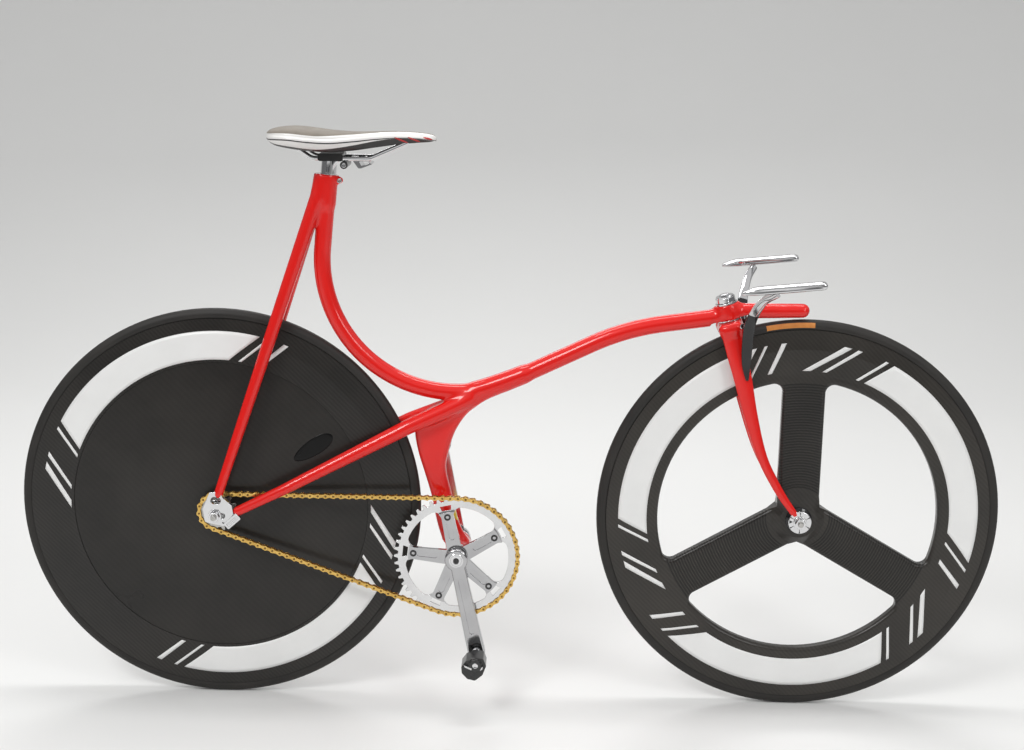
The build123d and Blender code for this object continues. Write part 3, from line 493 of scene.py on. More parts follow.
def socket_bolt(radius, height, hex_r, depth=1.6):
    """A bolt head's profile: a rounded rim and a hexagonal socket."""
    return (
        (radius, -0.4, 0), (radius, height - 0.4, 0),
        (radius - 0.15, height - 0.12, 0), (radius - 0.5, height, 0),
        (hex_r + 0.45, height, 0), (hex_r, height - 0.2, 6), (hex_r, height - depth, 6),
    )


def machined(node, slot, material, width=0.5):
    """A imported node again, with its edges rounded as a machined piece's are."""
    source = frame["nodes"][node]
    mesh = bpy.data.meshes.new(node + "_finished")
    work = bmesh.new()
    work.from_mesh(source.data)
    bmesh.ops.remove_doubles(work, verts=work.verts, dist=0.000005)
    bmesh.ops.dissolve_limit(work, angle_limit=radians(1.0), verts=work.verts, edges=work.edges)
    work.to_mesh(mesh)
    work.free()
    made = bpy.data.objects.new(node + "_finished", mesh)
    dress(made, source["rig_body"], material, (node,), 30.0)
    return edged(made, width, 2, 32.0)


FAR = 1000.0


class Clay:
    """A block of space in which limbs are joined by smooth fillets, then skinned with a mesh."""

    def __init__(self, low, high, cell):
        self.low = np.array(low, float)
        self.cell = cell
        self.count = np.ceil((np.array(high) - self.low) / cell).astype(int) + 1
        self.field = np.full(self.count, FAR, np.float32)

    def window(self, low, high):
        """The part of the block inside a box, and the places of its grid points."""
        first = np.clip(np.floor((np.array(low) - self.low) / self.cell).astype(int), 0, self.count - 1)
        last = np.ceil((np.array(high) - self.low) / self.cell).astype(int) + 1
        last = np.clip(last, first + 1, self.count)
        cut = tuple(slice(a, b) for a, b in zip(first, last))
        axes = [self.low[i] + self.cell * np.arange(first[i], last[i]) for i in range(3)]
        return cut, np.meshgrid(*axes, indexing="ij", sparse=True)

    def limb(self, rows, fillet, side=(0.0, 1.0, 0.0)):
        """Joins on a limb through rows of (x, y, z, half height, half thickness), thick along side."""
        rows = np.array(rows, float)
        reach = rows[:, 3:].max() + fillet + 2 * self.cell
        box_low = rows[:, :3].min(axis=0) - reach
        box_high = rows[:, :3].max(axis=0) + reach
        whole, _ = self.window(box_low, box_high)
        shape = np.full(self.field[whole].shape, FAR, np.float32)
        origin = [part.start for part in whole]
        for start, end in zip(rows[:-1], rows[1:]):
            low = np.minimum(start[:3], end[:3]) - reach
            high = np.maximum(start[:3], end[:3]) + reach
            cut, grid = self.window(low, high)
            local = tuple(slice(c.start - o, c.stop - o) for c, o in zip(cut, origin))
            line = end[:3] - start[:3]
            length = np.linalg.norm(line)
            along = line / length
            thick = np.array(side) - np.dot(side, along) * along
            thick = thick / np.linalg.norm(thick)
            chord = np.cross(along, thick)
            gap = [grid[i] - start[i] for i in range(3)]
            run = gap[0] * along[0] + gap[1] * along[1] + gap[2] * along[2]
            share = np.clip(run / length, 0.0, 1.0)
            rest = run - share * length
            across = gap[0] * chord[0] + gap[1] * chord[1] + gap[2] * chord[2]
            out = gap[0] * thick[0] + gap[1] * thick[1] + gap[2] * thick[2]
            r_across = start[3] + (end[3] - start[3]) * share
            r_out = start[4] + (end[4] - start[4]) * share
            r_rest = np.minimum(r_across, r_out)
            near = np.sqrt((across / r_across) ** 2 + (out / r_out) ** 2 + (rest / r_rest) ** 2)
            steep = (across / r_across ** 2) ** 2 + (out / r_out ** 2) ** 2 + (rest / r_rest ** 2) ** 2
            steep = np.sqrt(steep)
            shape[local] = np.minimum(shape[local], near * (near - 1.0) / np.maximum(steep, 1e-6))
        self.join(whole, shape, fillet)

    def join(self, cut, shape, fillet):
        there = self.field[cut]
        bend = np.maximum(fillet - np.abs(there - shape), 0.0) / fillet
        self.field[cut] = np.minimum(there, shape) - bend * bend * fillet / 4

    def blade(self, rows, fillet):
        """Joins on an upright slot-shaped blade; rows are (rear edge, front edge, height, thickness)."""
        rows = np.array(sorted(rows, key=lambda row: row[2]), float)
        low = (rows[:, 0].min() - fillet, -rows[:, 3].max() - fillet, rows[0, 2] - fillet)
        high = (rows[:, 1].max() + fillet, rows[:, 3].max() + fillet, rows[-1, 2] + fillet)
        cut, grid = self.window(low, high)
        rear, front, thick = (np.interp(grid[2], rows[:, 2], rows[:, i]) for i in (0, 1, 3))
        beyond = np.maximum(np.abs(grid[0] - (rear + front) / 2) - (front - rear - thick) / 2, 0.0)
        shape = np.sqrt(beyond ** 2 + grid[1] ** 2) - thick / 2
        above = np.maximum(grid[2] - rows[-1, 2], rows[0, 2] - grid[2])
        self.join(cut, np.maximum(shape, above), fillet)

    def trim(self, point, normal, reach):
        """Cuts the clay flat above a plane, near a point."""
        point = np.array(point, float)
        cut, grid = self.window(point - reach, point + reach)
        above = sum((grid[i] - point[i]) * normal[i] for i in range(3))
        self.field[cut] = np.maximum(self.field[cut], above)

    def bore(self, point, axis, radius, reach):
        """Drills a round hole through the clay near a point."""
        point = np.array(point, float)
        cut, grid = self.window(point - reach, point + reach)
        gap = [grid[i] - point[i] for i in range(3)]
        run = sum(gap[i] * axis[i] for i in range(3))
        away = np.sqrt(np.maximum(sum(g * g for g in gap) - run * run, 0.0))
        self.field[cut] = np.maximum(self.field[cut], radius - away)

    def skin(self):
        """A mesh of the clay's surface: one point in each cell that the surface crosses."""
        solid = self.field < 0
        corners = [(i, j, k) for i in (0, 1) for j in (0, 1) for k in (0, 1)]
        size = [n - 1 for n in self.count]
        full = np.zeros(size, np.uint8)
        for i, j, k in corners:
            full += solid[i:i + size[0], j:j + size[1], k:k + size[2]]
        crossed = (full > 0) & (full < 8)
        cells = np.argwhere(crossed)
        number = np.full(size, -1, np.int32)
        number[crossed] = np.arange(len(cells))
        total = np.zeros((len(cells), 3))
        hits = np.zeros(len(cells))
        for a in corners:
            for axis in range(3):
                if a[axis]:
                    continue
                b = list(a)
                b[axis] = 1
                first = self.field[tuple((cells + a).T)]
                second = self.field[tuple((cells + b).T)]
                meets = (first < 0) != (second < 0)
                share = np.where(meets, first / np.where(meets, first - second, 1.0), 0.0)
                point = np.array(a, float) + share[:, None] * (np.array(b) - np.array(a))
                total += np.where(meets[:, None], point, 0.0)
                hits += meets
        points = (cells + total / hits[:, None]) * self.cell + self.low
        faces = []
        for a, b, c in ((0, 1, 2), (1, 2, 0), (2, 0, 1)):
            low = [slice(1, n) for n in size]
            low[a] = slice(0, size[a])
            high = list(low)
            high[a] = slice(1, size[a] + 1)
            change = solid[tuple(low)] != solid[tuple(high)]
            at = np.argwhere(change) + np.array([s.start for s in low])
            inner = solid[tuple(at.T)]
            corner = []
            for back_b, back_c in ((1, 1), (0, 1), (0, 0), (1, 0)):
                cell = at.copy()
                cell[:, b] -= back_b
                cell[:, c] -= back_c
                corner.append(number[tuple(cell.T)])
            quad = np.stack(corner, axis=1)
            quad[~inner] = quad[~inner][:, ::-1]
            faces.append(quad)
        quads = np.concatenate(faces)
        return points, quads


def clay_piece(name, clay, body, material, nodes, smooth=4):
    """The clay's skin as a piece, with the grid's last unevenness smoothed away."""
    points, quads = clay.skin()
    mesh = bpy.data.meshes.new(name)
    mesh.from_pydata(((points - (SADDLE_X, 0, SADDLE_Z)) * MM).tolist(), [], quads.tolist())
    made = bpy.data.objects.new(name, mesh)
    dress(made, body, material, nodes, 180.0)
    even = made.modifiers.new("Evened", "SMOOTH")
    even.factor = 0.5
    even.iterations = smooth
    return made


def between(rows, steps):
    """Rows of numbers joined by a smooth curve through each of them."""
    rows = np.array(rows, float)
    ends = np.vstack([2 * rows[0] - rows[1], rows, 2 * rows[-1] - rows[-2]])
    result = []
    for i in range(1, len(ends) - 2):
        for step in range(steps):
            t = step / steps
            a, b, c, d = ends[i - 1:i + 3]
            square = (2 * a - 5 * b + 4 * c - d) * t ** 2
            cube = (3 * b - a - 3 * c + d) * t ** 3
            result.append(0.5 * (2 * b + (c - a) * t + square + cube))
    result.append(rows[-1])
    return np.array(result)


def rounded_path(corners, radii, spacing=6.0):
    """Points along straight runs joined by arcs; corners are (x, z), radii one for each inner corner."""
    path = [np.array(corners[0], float)]
    for i in range(1, len(corners) - 1):
        before, here, after = (np.array(c, float) for c in corners[i - 1:i + 2])
        to_back = (before - here) / np.linalg.norm(before - here)
        to_next = (after - here) / np.linalg.norm(after - here)
        half = np.arccos(np.clip(np.dot(to_back, to_next), -1, 1)) / 2
        radius = radii[i - 1]
        reach = radius / tan(half)
        centre = here + (to_back + to_next) / np.linalg.norm(to_back + to_next) * radius / sin(half)
        start = here + to_back * reach - centre
        end = here + to_next * reach - centre
        first = atan2(start[1], start[0])
        sweep = (atan2(end[1], end[0]) - first + pi) % (2 * pi) - pi
        steps = max(int(abs(sweep) * radius / spacing), 4)
        for k in range(steps + 1):
            turn = first + sweep * k / steps
            path.append(centre + radius * np.array([cos(turn), sin(turn)]))
    path.append(np.array(corners[-1], float))
    return [(x, 0.0, z) for x, z in path]


# Frame, one painted piece with brazed fillets at its joints
TUBE_R = 14.0
SEAT_LEAN = radians(5.0)
SEAT_TOP_Z = 889.0
CURVE_CORNERS = ((152.4, 535.0), (437.0, 535.0), (667.0, 647.0))
CURVE_RADII = (215.0, 200.0, 400.0)
SEAT_TOP = (CURVE_CORNERS[0][0] + (SEAT_TOP_Z - CURVE_CORNERS[0][1]) * tan(SEAT_LEAN), SEAT_TOP_Z)
SEAT_UP = (sin(SEAT_LEAN), 0.0, cos(SEAT_LEAN))
CLUSTER_R = 14.6
CLUSTER_H = 46.0
HEAD_MID = 367.5
HEAD_R = 19.0
HEAD_HALF = 12.5
NOSE_END = (953.5, 682.0)
NOSE_R = 13.0
NOSE_TIP_R = 11.6
CHAIN_STAY = (
    # x, y outward, z, radius
    (37.0, 60.2, 341.2, 8.0), (110.0, 56.0, 377.0, 9.0), (316.0, 24.5, 481.6, 12.6),
    (372.0, 14.0, 506.0, 13.2), (412.0, 7.0, 525.0, 12.5),
)
SEAT_STAY = (
    (6.0, 60.5, 370.0, 7.6), (86.0, 34.8, 612.0, 10.2), (165.0, 9.0, 852.0, 11.2), (172.5, 3.5, 886.0, 10.6),
)
FIN_ROWS = (
    # rear edge, front edge, height, thickness
    (404.0, 458.0, 534.0, 18.0),
    (380.0, 436.0, 520.0, 19.0),
    (344.0, 415.0, 504.0, 21.0),
    (325.0, 400.0, 486.0, 22.5),
    (323.0, 387.5, 462.0, 24.0),
    (329.0, 378.5, 430.0, 24.5),
    (337.5, 375.5, 402.0, 25.0),
    (351.0, 386.0, 356.0, 25.0),
    (360.0, 397.0, 312.0, 25.0),
    (370.0, 414.0, 278.0, 26.0),
)
SHELL_R = 21.0
SHELL_HALF = 34.0
BADGE_X = 392.0
BADGE_Z = 330.0
BADGE_HALF_W = 11.0
BADGE_HALF_H = 16.0


def painted_frame():
    clay = Clay((-14.0, -76.0, 236.0), (966.0, 76.0, 900.0), 1.9)
    head = steer(0, 0, HEAD_MID - 8.0)
    spine = rounded_path((SEAT_TOP, *CURVE_CORNERS, (head[0], head[2])), CURVE_RADII)
    clay.limb([(*p, TUBE_R, TUBE_R) for p in spine], 8.0)
    base = np.array((SEAT_TOP[0], 0.0, SEAT_TOP[1]))
    up = np.array(SEAT_UP)
    forward = np.array((cos(SEAT_LEAN), 0.0, -sin(SEAT_LEAN)))
    clay.limb([(*(base + up * s), CLUSTER_R, CLUSTER_R) for s in (-CLUSTER_H, 8.0)], 6.0)
    web = base - up * 10.0 - forward * 6.0
    clay.limb([(*web, 10.0, 12.0), (*(web - up * 40.0 - forward * 6.0), 8.0, 10.0)], 8.0)
    ear = base - up * 8.0
    clay.limb([(*(ear + forward * 10.0), 5.5, 7.5), (*(ear + forward * 19.0), 5.5, 7.5)], 5.0)
    for side in (-1, 1):
        for stay, fillet in ((CHAIN_STAY, 9.0), (SEAT_STAY, 9.0)):
            clay.limb([(x, side * y, z, r, r) for x, y, z, r in stay], fillet)
    clay.blade(between(FIN_ROWS, 6), 9.0)
    clay.limb([(425.0, 0.0, 539.5, 14.0, 14.0), (500.0, 0.0, 567.0, 14.2, 14.2)], 8.0)
    shell = [(BRACKET_X, y, BRACKET_Z, SHELL_R, SHELL_R) for y in (-SHELL_HALF, SHELL_HALF)]
    clay.limb(shell, 10.0, (0, 0, 1))
    for side in (-1, 1):
        clay.trim((BRACKET_X, side * SHELL_HALF, BRACKET_Z), (0, side, 0), SHELL_R + 12.0)
    back = steer(2.0, 0, HEAD_MID - 0.5)
    clay.limb([(*back, NOSE_R, NOSE_R), (NOSE_END[0] - 2.0, 0.0, NOSE_END[1], NOSE_TIP_R, NOSE_TIP_R)], 10.0)
    foot = steer(0, 0, HEAD_MID - HEAD_HALF)
    top = steer(0, 0, HEAD_MID + HEAD_HALF)
    clay.limb([(*foot, HEAD_R, HEAD_R), (*top, HEAD_R, HEAD_R)], 10.0)
    rise = np.array(top) - np.array(foot)
    rise = rise / np.linalg.norm(rise)
    clay.trim(foot, -rise, HEAD_R + 10.0)
    clay.trim(top, rise, HEAD_R + 10.0)
    clay.trim(base, up, CLUSTER_R + 8.0)
    return clay_piece(
        "painted_frame", clay, "frame", RED_PAINT,
        ("main_tube", "seat_tube", "nose_tube", "head_tube", "bracket_fin", "bracket_shell",
         "chain_stay_left", "chain_stay_right", "seat_stay_left", "seat_stay_right"),
    )


# Fork: a crown and two raked blades, one painted piece
CROWN_S = 339.0
BLADES = (
    # s up the steering line, q forward of it, y outward, chord, thickness
    (345.0, -4.0, 23.0, 33.0, 13.5),
    (300.0, -4.0, 26.0, 32.0, 13.0),
    (262.0, -3.5, 28.0, 30.0, 12.5),
    (190.0, -5.0, 29.5, 22.5, 12.0),
    (120.0, -2.0, 31.5, 16.5, 11.0),
    (62.0, 11.0, 33.5, 14.5, 9.5),
    (24.0, 24.5, 35.5, 12.0, 7.0),
    (8.0, 31.0, 35.5, 11.0, 5.0),
)
FORK_END_R = 19.0


def painted_fork():
    clay = Clay((815.0, -46.0, 312.0), (995.0, 46.0, 690.0), 1.25)
    for side in (-1, 1):
        rows = [(*steer(q, side * y, s), chord / 2, thick / 2) for s, q, y, chord, thick in BLADES]
        clay.limb(between(rows, 5), 3.0)
        clay.bore((WHEELBASE, side * 35.5, WHEEL_R), (0, 1, 0), FORK_END_R - 7.0, 26.0)
    for q in (-12.0, 4.0):
        left = steer(q, 24.0, CROWN_S + 2.0)
        right = steer(q, -24.0, CROWN_S + 2.0)
        clay.limb([(*right, 7.0, 8.5), (*left, 7.0, 8.5)], 12.0, (sin(HEAD_ANGLE), 0, cos(HEAD_ANGLE)))
    top = steer(0, 0, HEAD_MID - HEAD_HALF - 3.3)
    low = steer(0, 0, CROWN_S - 2.0)
    clay.limb([(*low, 18.0, 18.0), (*top, 18.0, 18.0)], 12.0)
    rise = np.array(top) - np.array(low)
    clay.trim(top, rise / np.linalg.norm(rise), 46.0)
    return clay_piece(
        "painted_fork", clay, "steering", RED_PAINT,
        ("fork_crown", "fork_blade_left", "fork_blade_right"),
    )


# Bars: a flat handle on a curved blade post at each side
POST_PATH = (
    # q forward, y outward, s up the steering line, chord, thickness
    (2.0, 35.6, 256.0, 5.0, 4.0),
    (7.0, 36.0, 285.0, 15.0, 6.0),
    (19.0, 46.0, 330.0, 18.0, 6.5),
    (31.0, 66.0, 362.0, 17.0, 6.5),
    (50.0, 103.0, 390.0, 14.0, 6.5),
    (69.0, 136.0, 403.0, 13.0, 6.5),
)
# Share of each bar post, from its foot, that takes the near-black finish as a painted dark reflection.
POST_REFLECTION_SHARE = 0.63
HANDLE_Y = 140.0
HANDLE_REAR = (17.6, 419.8)
HANDLE_FRONT = (145.5, 398.0)
HANDLE_HALF_W = 11.0
HANDLE_HALF_H = 6.5
ROUND_STEPS = 28


def ray_down(made):
    """A finder of the first point of a finished piece along a line, both in millimetres."""
    graph = bpy.context.evaluated_depsgraph_get()
    graph.update()
    tree = BVHTree.FromObject(made, graph)

    def first_point(start, toward, lift):
        hit, normal, _, _ = tree.ray_cast(place(*start), Vector(toward))
        if hit is None:
            return None
        if normal.dot(Vector(toward)) > 0:
            normal = -normal
        return hit + normal * lift * MM

    return first_point


def badge(made):
    """A small oval enamel badge wrapped on the front edge of the fin."""
    finder = ray_down(made)
    around = 28
    verts = []
    faces = []
    for level in (0.45, 0.34, 0.0):
        verts.append(finder((BADGE_X + 60.0, 0.0, BADGE_Z), (-1.0, 0.0, 0.0), level))
    rings = []
    for share in (0.25, 0.5, 0.75, 0.95, 1.0, 1.0):
        ring = []
        for i in range(around):
            turn = 2 * pi * i / around
            beside = BADGE_HALF_W * share * cos(turn)
            spot = (BADGE_X + 60.0, beside, BADGE_Z + BADGE_HALF_H * share * sin(turn))
            lift = 0.45 if share < 0.97 else (0.34 if len(rings) == 4 else -0.2)
            found = finder(spot, (-1.0, 0.0, 0.0), lift)
            ring.append(found)
        rings.append(ring)
    verts = [verts[0]] + [p for ring in rings for p in ring]
    faces = [(0, 1 + i, 1 + (i + 1) % around) for i in range(around)]
    for k in range(len(rings) - 1):
        for i in range(around):
            a = 1 + k * around + i
            b = 1 + k * around + (i + 1) % around
            faces.append((a, a + around, b + around, b))
    return piece("fin_badge", verts, faces, "frame", YELLOW_BADGE, (), 50.0)


def oval(half_long, half_short, power=2.6):
    """Points round a soft-cornered oval."""
    points = []
    for i in range(ROUND_STEPS):
        turn = 2 * pi * i / ROUND_STEPS
        c, s = cos(turn), sin(turn)
        points.append((
            half_long * abs(c) ** (2 / power) * (1 if c >= 0 else -1),
            half_short * abs(s) ** (2 / power) * (1 if s >= 0 else -1),
        ))
    return points


def bar_post(side, name):
    rows = between([(*steer(q, side * y, s), chord / 2, thick / 2) for q, y, s, chord, thick in POST_PATH], 8)
    rings = []
    for i, row in enumerate(rows):
        along = rows[min(i + 1, len(rows) - 1)][:3] - rows[max(i - 1, 0)][:3]
        along = along / np.linalg.norm(along)
        thick = np.array((0.0, 1.0, 0.0)) - along[1] * along
        thick = thick / np.linalg.norm(thick)
        chord = np.cross(along, thick)
        rings.append([place(*(row[:3] + chord * a + thick * b)) for a, b in oval(row[3], row[4])])
    verts, faces = skin(rings)
    node = "bar_post_" + name
    made = piece(node + "_plated", verts, faces, "steering", CHROME, (node,), 50.0)
    # The chrome post's lower part takes the near-black finish: a painted dark reflection, not a different
    # metal.
    made.data.materials.append(DARK_HUB_AND_POST_REFLECTION)
    reflection_from = int((len(rows) - 1) * POST_REFLECTION_SHARE)
    for face in made.data.polygons:
        if max(v // ROUND_STEPS for v in face.vertices) <= reflection_from:
            face.material_index = 1
    return made


def handle(side, name):
    """A flat tube with a groove along each side, a pinched tail and a rounded nose."""
    rear = np.array(steer(HANDLE_REAR[0], side * HANDLE_Y, HANDLE_REAR[1]))
    front = np.array(steer(HANDLE_FRONT[0], side * HANDLE_Y, HANDLE_FRONT[1]))
    length = np.linalg.norm(front - rear)
    along = (front - rear) / length
    wide = np.array((0.0, 1.0, 0.0))
    high = np.cross(wide, along) * -1
    groove = 1.6
    stations = (
        # share of the length, width, height, drop, groove depth
        (0.0, 0.30, 0.30, -2.6, 0.0), (0.01, 0.44, 0.42, -2.4, 0.0), (0.05, 0.60, 0.58, -1.8, 0.3),
        (0.12, 0.82, 0.86, -0.6, 0.8), (0.19, 1.0, 1.0, 0.0, 1.0), (0.5, 1.0, 1.0, 0.0, 1.0),
        (0.90, 1.0, 1.0, 0.0, 1.0), (0.93, 1.0, 1.0, 0.0, 0.9), (0.945, 0.995, 0.99, 0.0, 0.0),
        (0.97, 0.96, 0.93, 0.0, 0.0), (0.987, 0.86, 0.76, 0.0, 0.0), (0.997, 0.66, 0.48, 0.0, 0.0),
        (1.0, 0.45, 0.25, 0.0, 0.0),
    )
    rings = []
    for share, width, height, drop, depth in stations:
        ring = []
        for a, b in oval(HANDLE_HALF_W * width, HANDLE_HALF_H * height, 3.0):
            inward = groove * depth * max(0.0, 1 - abs(b) / 1.5) * (1 if a > 0 else -1)
            centre = rear + along * (length * share)
            ring.append(place(*(centre + wide * (a - inward) + high * (b + drop))))
        rings.append(ring)
    verts, faces = skin(rings)
    node = "handle_" + name
    return piece(node + "_plated", verts, faces, "steering", CHROME, (node,), 60.0)


# Wheels
TYRE_R = 10.5
TYRE_MID = WHEEL_R - TYRE_R
RIM_R = 318.0
RIM_EDGE = 10.0
RIM_BULGE = 12.5
BULGE_R = 286.0
WEB_HALF = 11.0
WINDOW_R = 232.0
DISC_R = 246.0
DISC_LIFT = 0.6
DISC_STEP = 0.9
DISC_HUB_R = 46.0
DISC_HUB_HALF = 24.0
BAND_OUTER = 298.0
BAND_INNER = 250.7
BAND_LIFT = 0.12


def tyre(name, x, body):
    """A tubular tyre: a round casing and a tread cap with low edges."""
    profile = []
    for i in range(48):
        turn = 2 * pi * i / 48
        radius = TYRE_R
        if abs(turn - pi) > radians(128.0):
            radius = TYRE_R - 0.02
        elif abs(turn - pi) > radians(122.0):
            radius = TYRE_R - 0.35
        else:
            radius = TYRE_R - 0.5
        profile.append((TYRE_MID + radius * cos(turn), radius * sin(turn)))
    verts, faces = lathe(profile, x, WHEEL_R, 180)
    return piece(name + "_rubber", verts, faces, body, RUBBER, (name,), 60.0)


FLANK_LOW = (WINDOW_R + 12.0, WEB_HALF)
DISC_FLANK = (DISC_R, RIM_BULGE + DISC_LIFT + DISC_STEP)
STRIPES = (
    # outer start and end, inner start and end, in degrees from the first stripe
    (0.0, 1.6, 6.2, 7.9),
    (6.0, 7.0, 14.0, 15.2),
    (9.4, 84.9, 18.8, 91.2),
    (86.9, 87.9, 93.4, 94.6),
    (95.9, 97.4, 105.9, 107.5),
    (99.4, 101.8, 111.9, 115.0),
)


def stripe_sheet(out_start, out_end, in_start, in_end, first, side, flank, x):
    """One slanted stripe or band, lying on the wheel's side from the outer circle to the inner one."""
    across = max(int((out_end - out_start) / 1.5), 1)
    down = 8
    verts = []
    for i in range(down + 1):
        share = i / down
        for j in range(across + 1):
            part = j / across
            outer = radians(first + out_start + (out_end - out_start) * part)
            inner = radians(first + in_start + (in_end - in_start) * part)
            if across == 1:
                px = (1 - share) * BAND_OUTER * cos(outer) + share * BAND_INNER * cos(inner)
                pz = (1 - share) * BAND_OUTER * sin(outer) + share * BAND_INNER * sin(inner)
            else:
                radius = BAND_OUTER + (BAND_INNER - BAND_OUTER) * share
                straight = (
                    (1 - share) * BAND_OUTER * np.array((cos(outer), sin(outer)))
                    + share * BAND_INNER * np.array((cos(inner), sin(inner)))
                )
                turn = atan2(straight[1], straight[0])
                px, pz = radius * cos(turn), radius * sin(turn)
            if side > 0:
                px = -px
            radius = hypot(px, pz)
            if flank and radius < BULGE_R:
                low = DISC_FLANK if flank == "disc" else FLANK_LOW
                height = low[1] + (RIM_BULGE - low[1]) * (radius - low[0]) / (BULGE_R - low[0])
            else:
                height = RIM_BULGE + (RIM_EDGE - RIM_BULGE) * (radius - BULGE_R) / (RIM_R - BULGE_R)
            verts.append(place(x + px, side * (height + BAND_LIFT), WHEEL_R + pz))
    faces = []
    for i in range(down):
        for j in range(across):
            a = i * (across + 1) + j
            quad = (a, a + 1, a + across + 2, a + across + 1)
            faces.append(quad if side > 0 else quad[::-1])
    return verts, faces


def wheel_bands(name, x, body, starts, flank):
    """All the white stripes and bands of a wheel, both sides, as one thin vinyl piece."""
    verts = []
    faces = []
    for side in (-1, 1):
        for first in starts:
            for row in STRIPES:
                more, quads = stripe_sheet(*row, first, side, flank, x)
                faces.extend([tuple(i + len(verts) for i in quad) for quad in quads])
                verts.extend(more)
    made = piece(name, verts, faces, body, WHITE_VINYL, (), 60.0)
    thick = made.modifiers.new("Film", "SOLIDIFY")
    thick.thickness = BAND_LIFT * MM
    thick.offset = -1.0
    return made


# Drive
CHAIN_PITCH = 12.7
RING_TEETH = 50
COG_TEETH = 15
CHAIN_LINE = 42.0
LINK_END_R = 4.3
LINK_WAIST_R = 2.1
ROLLER_R = 3.9
PLATE_T = 1.0
INNER_Y = 2.0
OUTER_Y = 3.15
RING_R = CHAIN_PITCH / 2 / sin(pi / RING_TEETH)
COG_R = CHAIN_PITCH / 2 / sin(pi / COG_TEETH)


def chain_pins():
    """Places of the chain's pins, evenly round the loop over ring and cog."""
    centres = hypot(BRACKET_X, BRACKET_Z - WHEEL_R)
    slope = atan2(BRACKET_Z - WHEEL_R, BRACKET_X)
    lean = asin((RING_R - COG_R) / centres)
    run = sqrt(centres ** 2 - (RING_R - COG_R) ** 2)
    up = slope + pi / 2 + lean
    down = slope - pi / 2 - lean
    spans = (
        ("line", run), ("ring", RING_R * (pi + 2 * lean)), ("back", run), ("cog", COG_R * (pi - 2 * lean)),
    )
    total = sum(length for _, length in spans)
    count = 2 * round(total / CHAIN_PITCH / 2)
    pins = []
    for i in range(count):
        rest = total * i / count
        for kind, length in spans:
            if rest <= length:
                break
            rest -= length
        if kind == "line" or kind == "back":
            turn = up if kind == "line" else down
            cog = np.array((COG_R * cos(turn), WHEEL_R + COG_R * sin(turn)))
            ring = np.array((BRACKET_X + RING_R * cos(turn), BRACKET_Z + RING_R * sin(turn)))
            share = rest / run if kind == "line" else 1 - rest / run
            pins.append(cog + (ring - cog) * share)
        elif kind == "ring":
            turn = up - rest / RING_R
            pins.append(np.array((BRACKET_X + RING_R * cos(turn), BRACKET_Z + RING_R * sin(turn))))
        else:
            turn = down - rest / COG_R
            pins.append(np.array((COG_R * cos(turn), WHEEL_R + COG_R * sin(turn))))
    return pins


def link_outline(start, end):
    """A link plate's waisted outline round two pins."""
    along = (end - start) / np.linalg.norm(end - start)
    over = np.array((-along[1], along[0]))
    half = np.linalg.norm(end - start) / 2
    middle = (start + end) / 2
    shape = []
    for i in range(9):
        turn = -pi * 0.40 + pi * 0.80 * i / 8
        shape.append((half + LINK_END_R * cos(turn), LINK_END_R * sin(turn)))
    shape.append((0.0, LINK_WAIST_R + 0.2))
    shape = shape + [(-x, y) for x, y in reversed(shape[:-1])] + [(0.0, -LINK_WAIST_R - 0.2)]
    return [middle + along * x + over * y for x, y in shape]


def plate_mesh(outline, y_from, y_to, rim=0.2):
    """A flat plate with softened rims, as verts and faces."""
    centre = sum(outline) / len(outline)
    rings = []
    for y, inset in ((y_from, rim), (y_from + rim, 0.0), (y_to - rim, 0.0), (y_to, rim)):
        ring = []
        for p in outline:
            toward = centre - p
            q = p + toward / np.linalg.norm(toward) * inset
            ring.append(place(q[0], y, q[1]))
        rings.append(ring)
    return skin(rings)


def disc_mesh(x, z, radius, y_from, y_to, steps=14, rim=0.25):
    """A flat round plate, seen from the side as a circle."""
    outline = []
    for i in range(steps):
        turn = 2 * pi * i / steps
        outline.append(np.array((x + radius * cos(turn), z + radius * sin(turn))))
    return plate_mesh(outline, y_from, y_to, rim)


class Heap:
    """Many small meshes gathered into one piece."""

    def __init__(self):
        self.verts = []
        self.faces = []

    def add(self, shape):
        verts, faces = shape
        start = len(self.verts)
        self.verts.extend(verts)
        self.faces.extend([tuple(i + start for i in face) for face in faces])


def chain():
    pins = chain_pins()
    plates = Heap()
    rollers = Heap()
    for i, pin in enumerate(pins):
        after = pins[(i + 1) % len(pins)]
        offset = INNER_Y if i % 2 else OUTER_Y
        outline = link_outline(pin, after)
        for side in (-1, 1):
            near = -CHAIN_LINE + side * offset
            far = near + side * PLATE_T
            plates.add(plate_mesh(outline, min(near, far), max(near, far)))
        roller_span = (-CHAIN_LINE - INNER_Y, -CHAIN_LINE + INNER_Y)
        rollers.add(disc_mesh(*pin, ROLLER_R, *roller_span, 12, 0.3))
        for side in (-1, 1):
            head = -CHAIN_LINE + side * (OUTER_Y + PLATE_T)
            tip = head + side * 0.45
            rollers.add(disc_mesh(pin[0], pin[1], 1.9, min(head, tip), max(head, tip), 10, 0.2))
    piece("chain_links", plates.verts, plates.faces, "frame", GOLD, ("chain",), 40.0)
    piece("chain_rollers", rollers.verts, rollers.faces, "frame", CHAIN_GOLD_PAINTED_SHADE, (), 40.0)


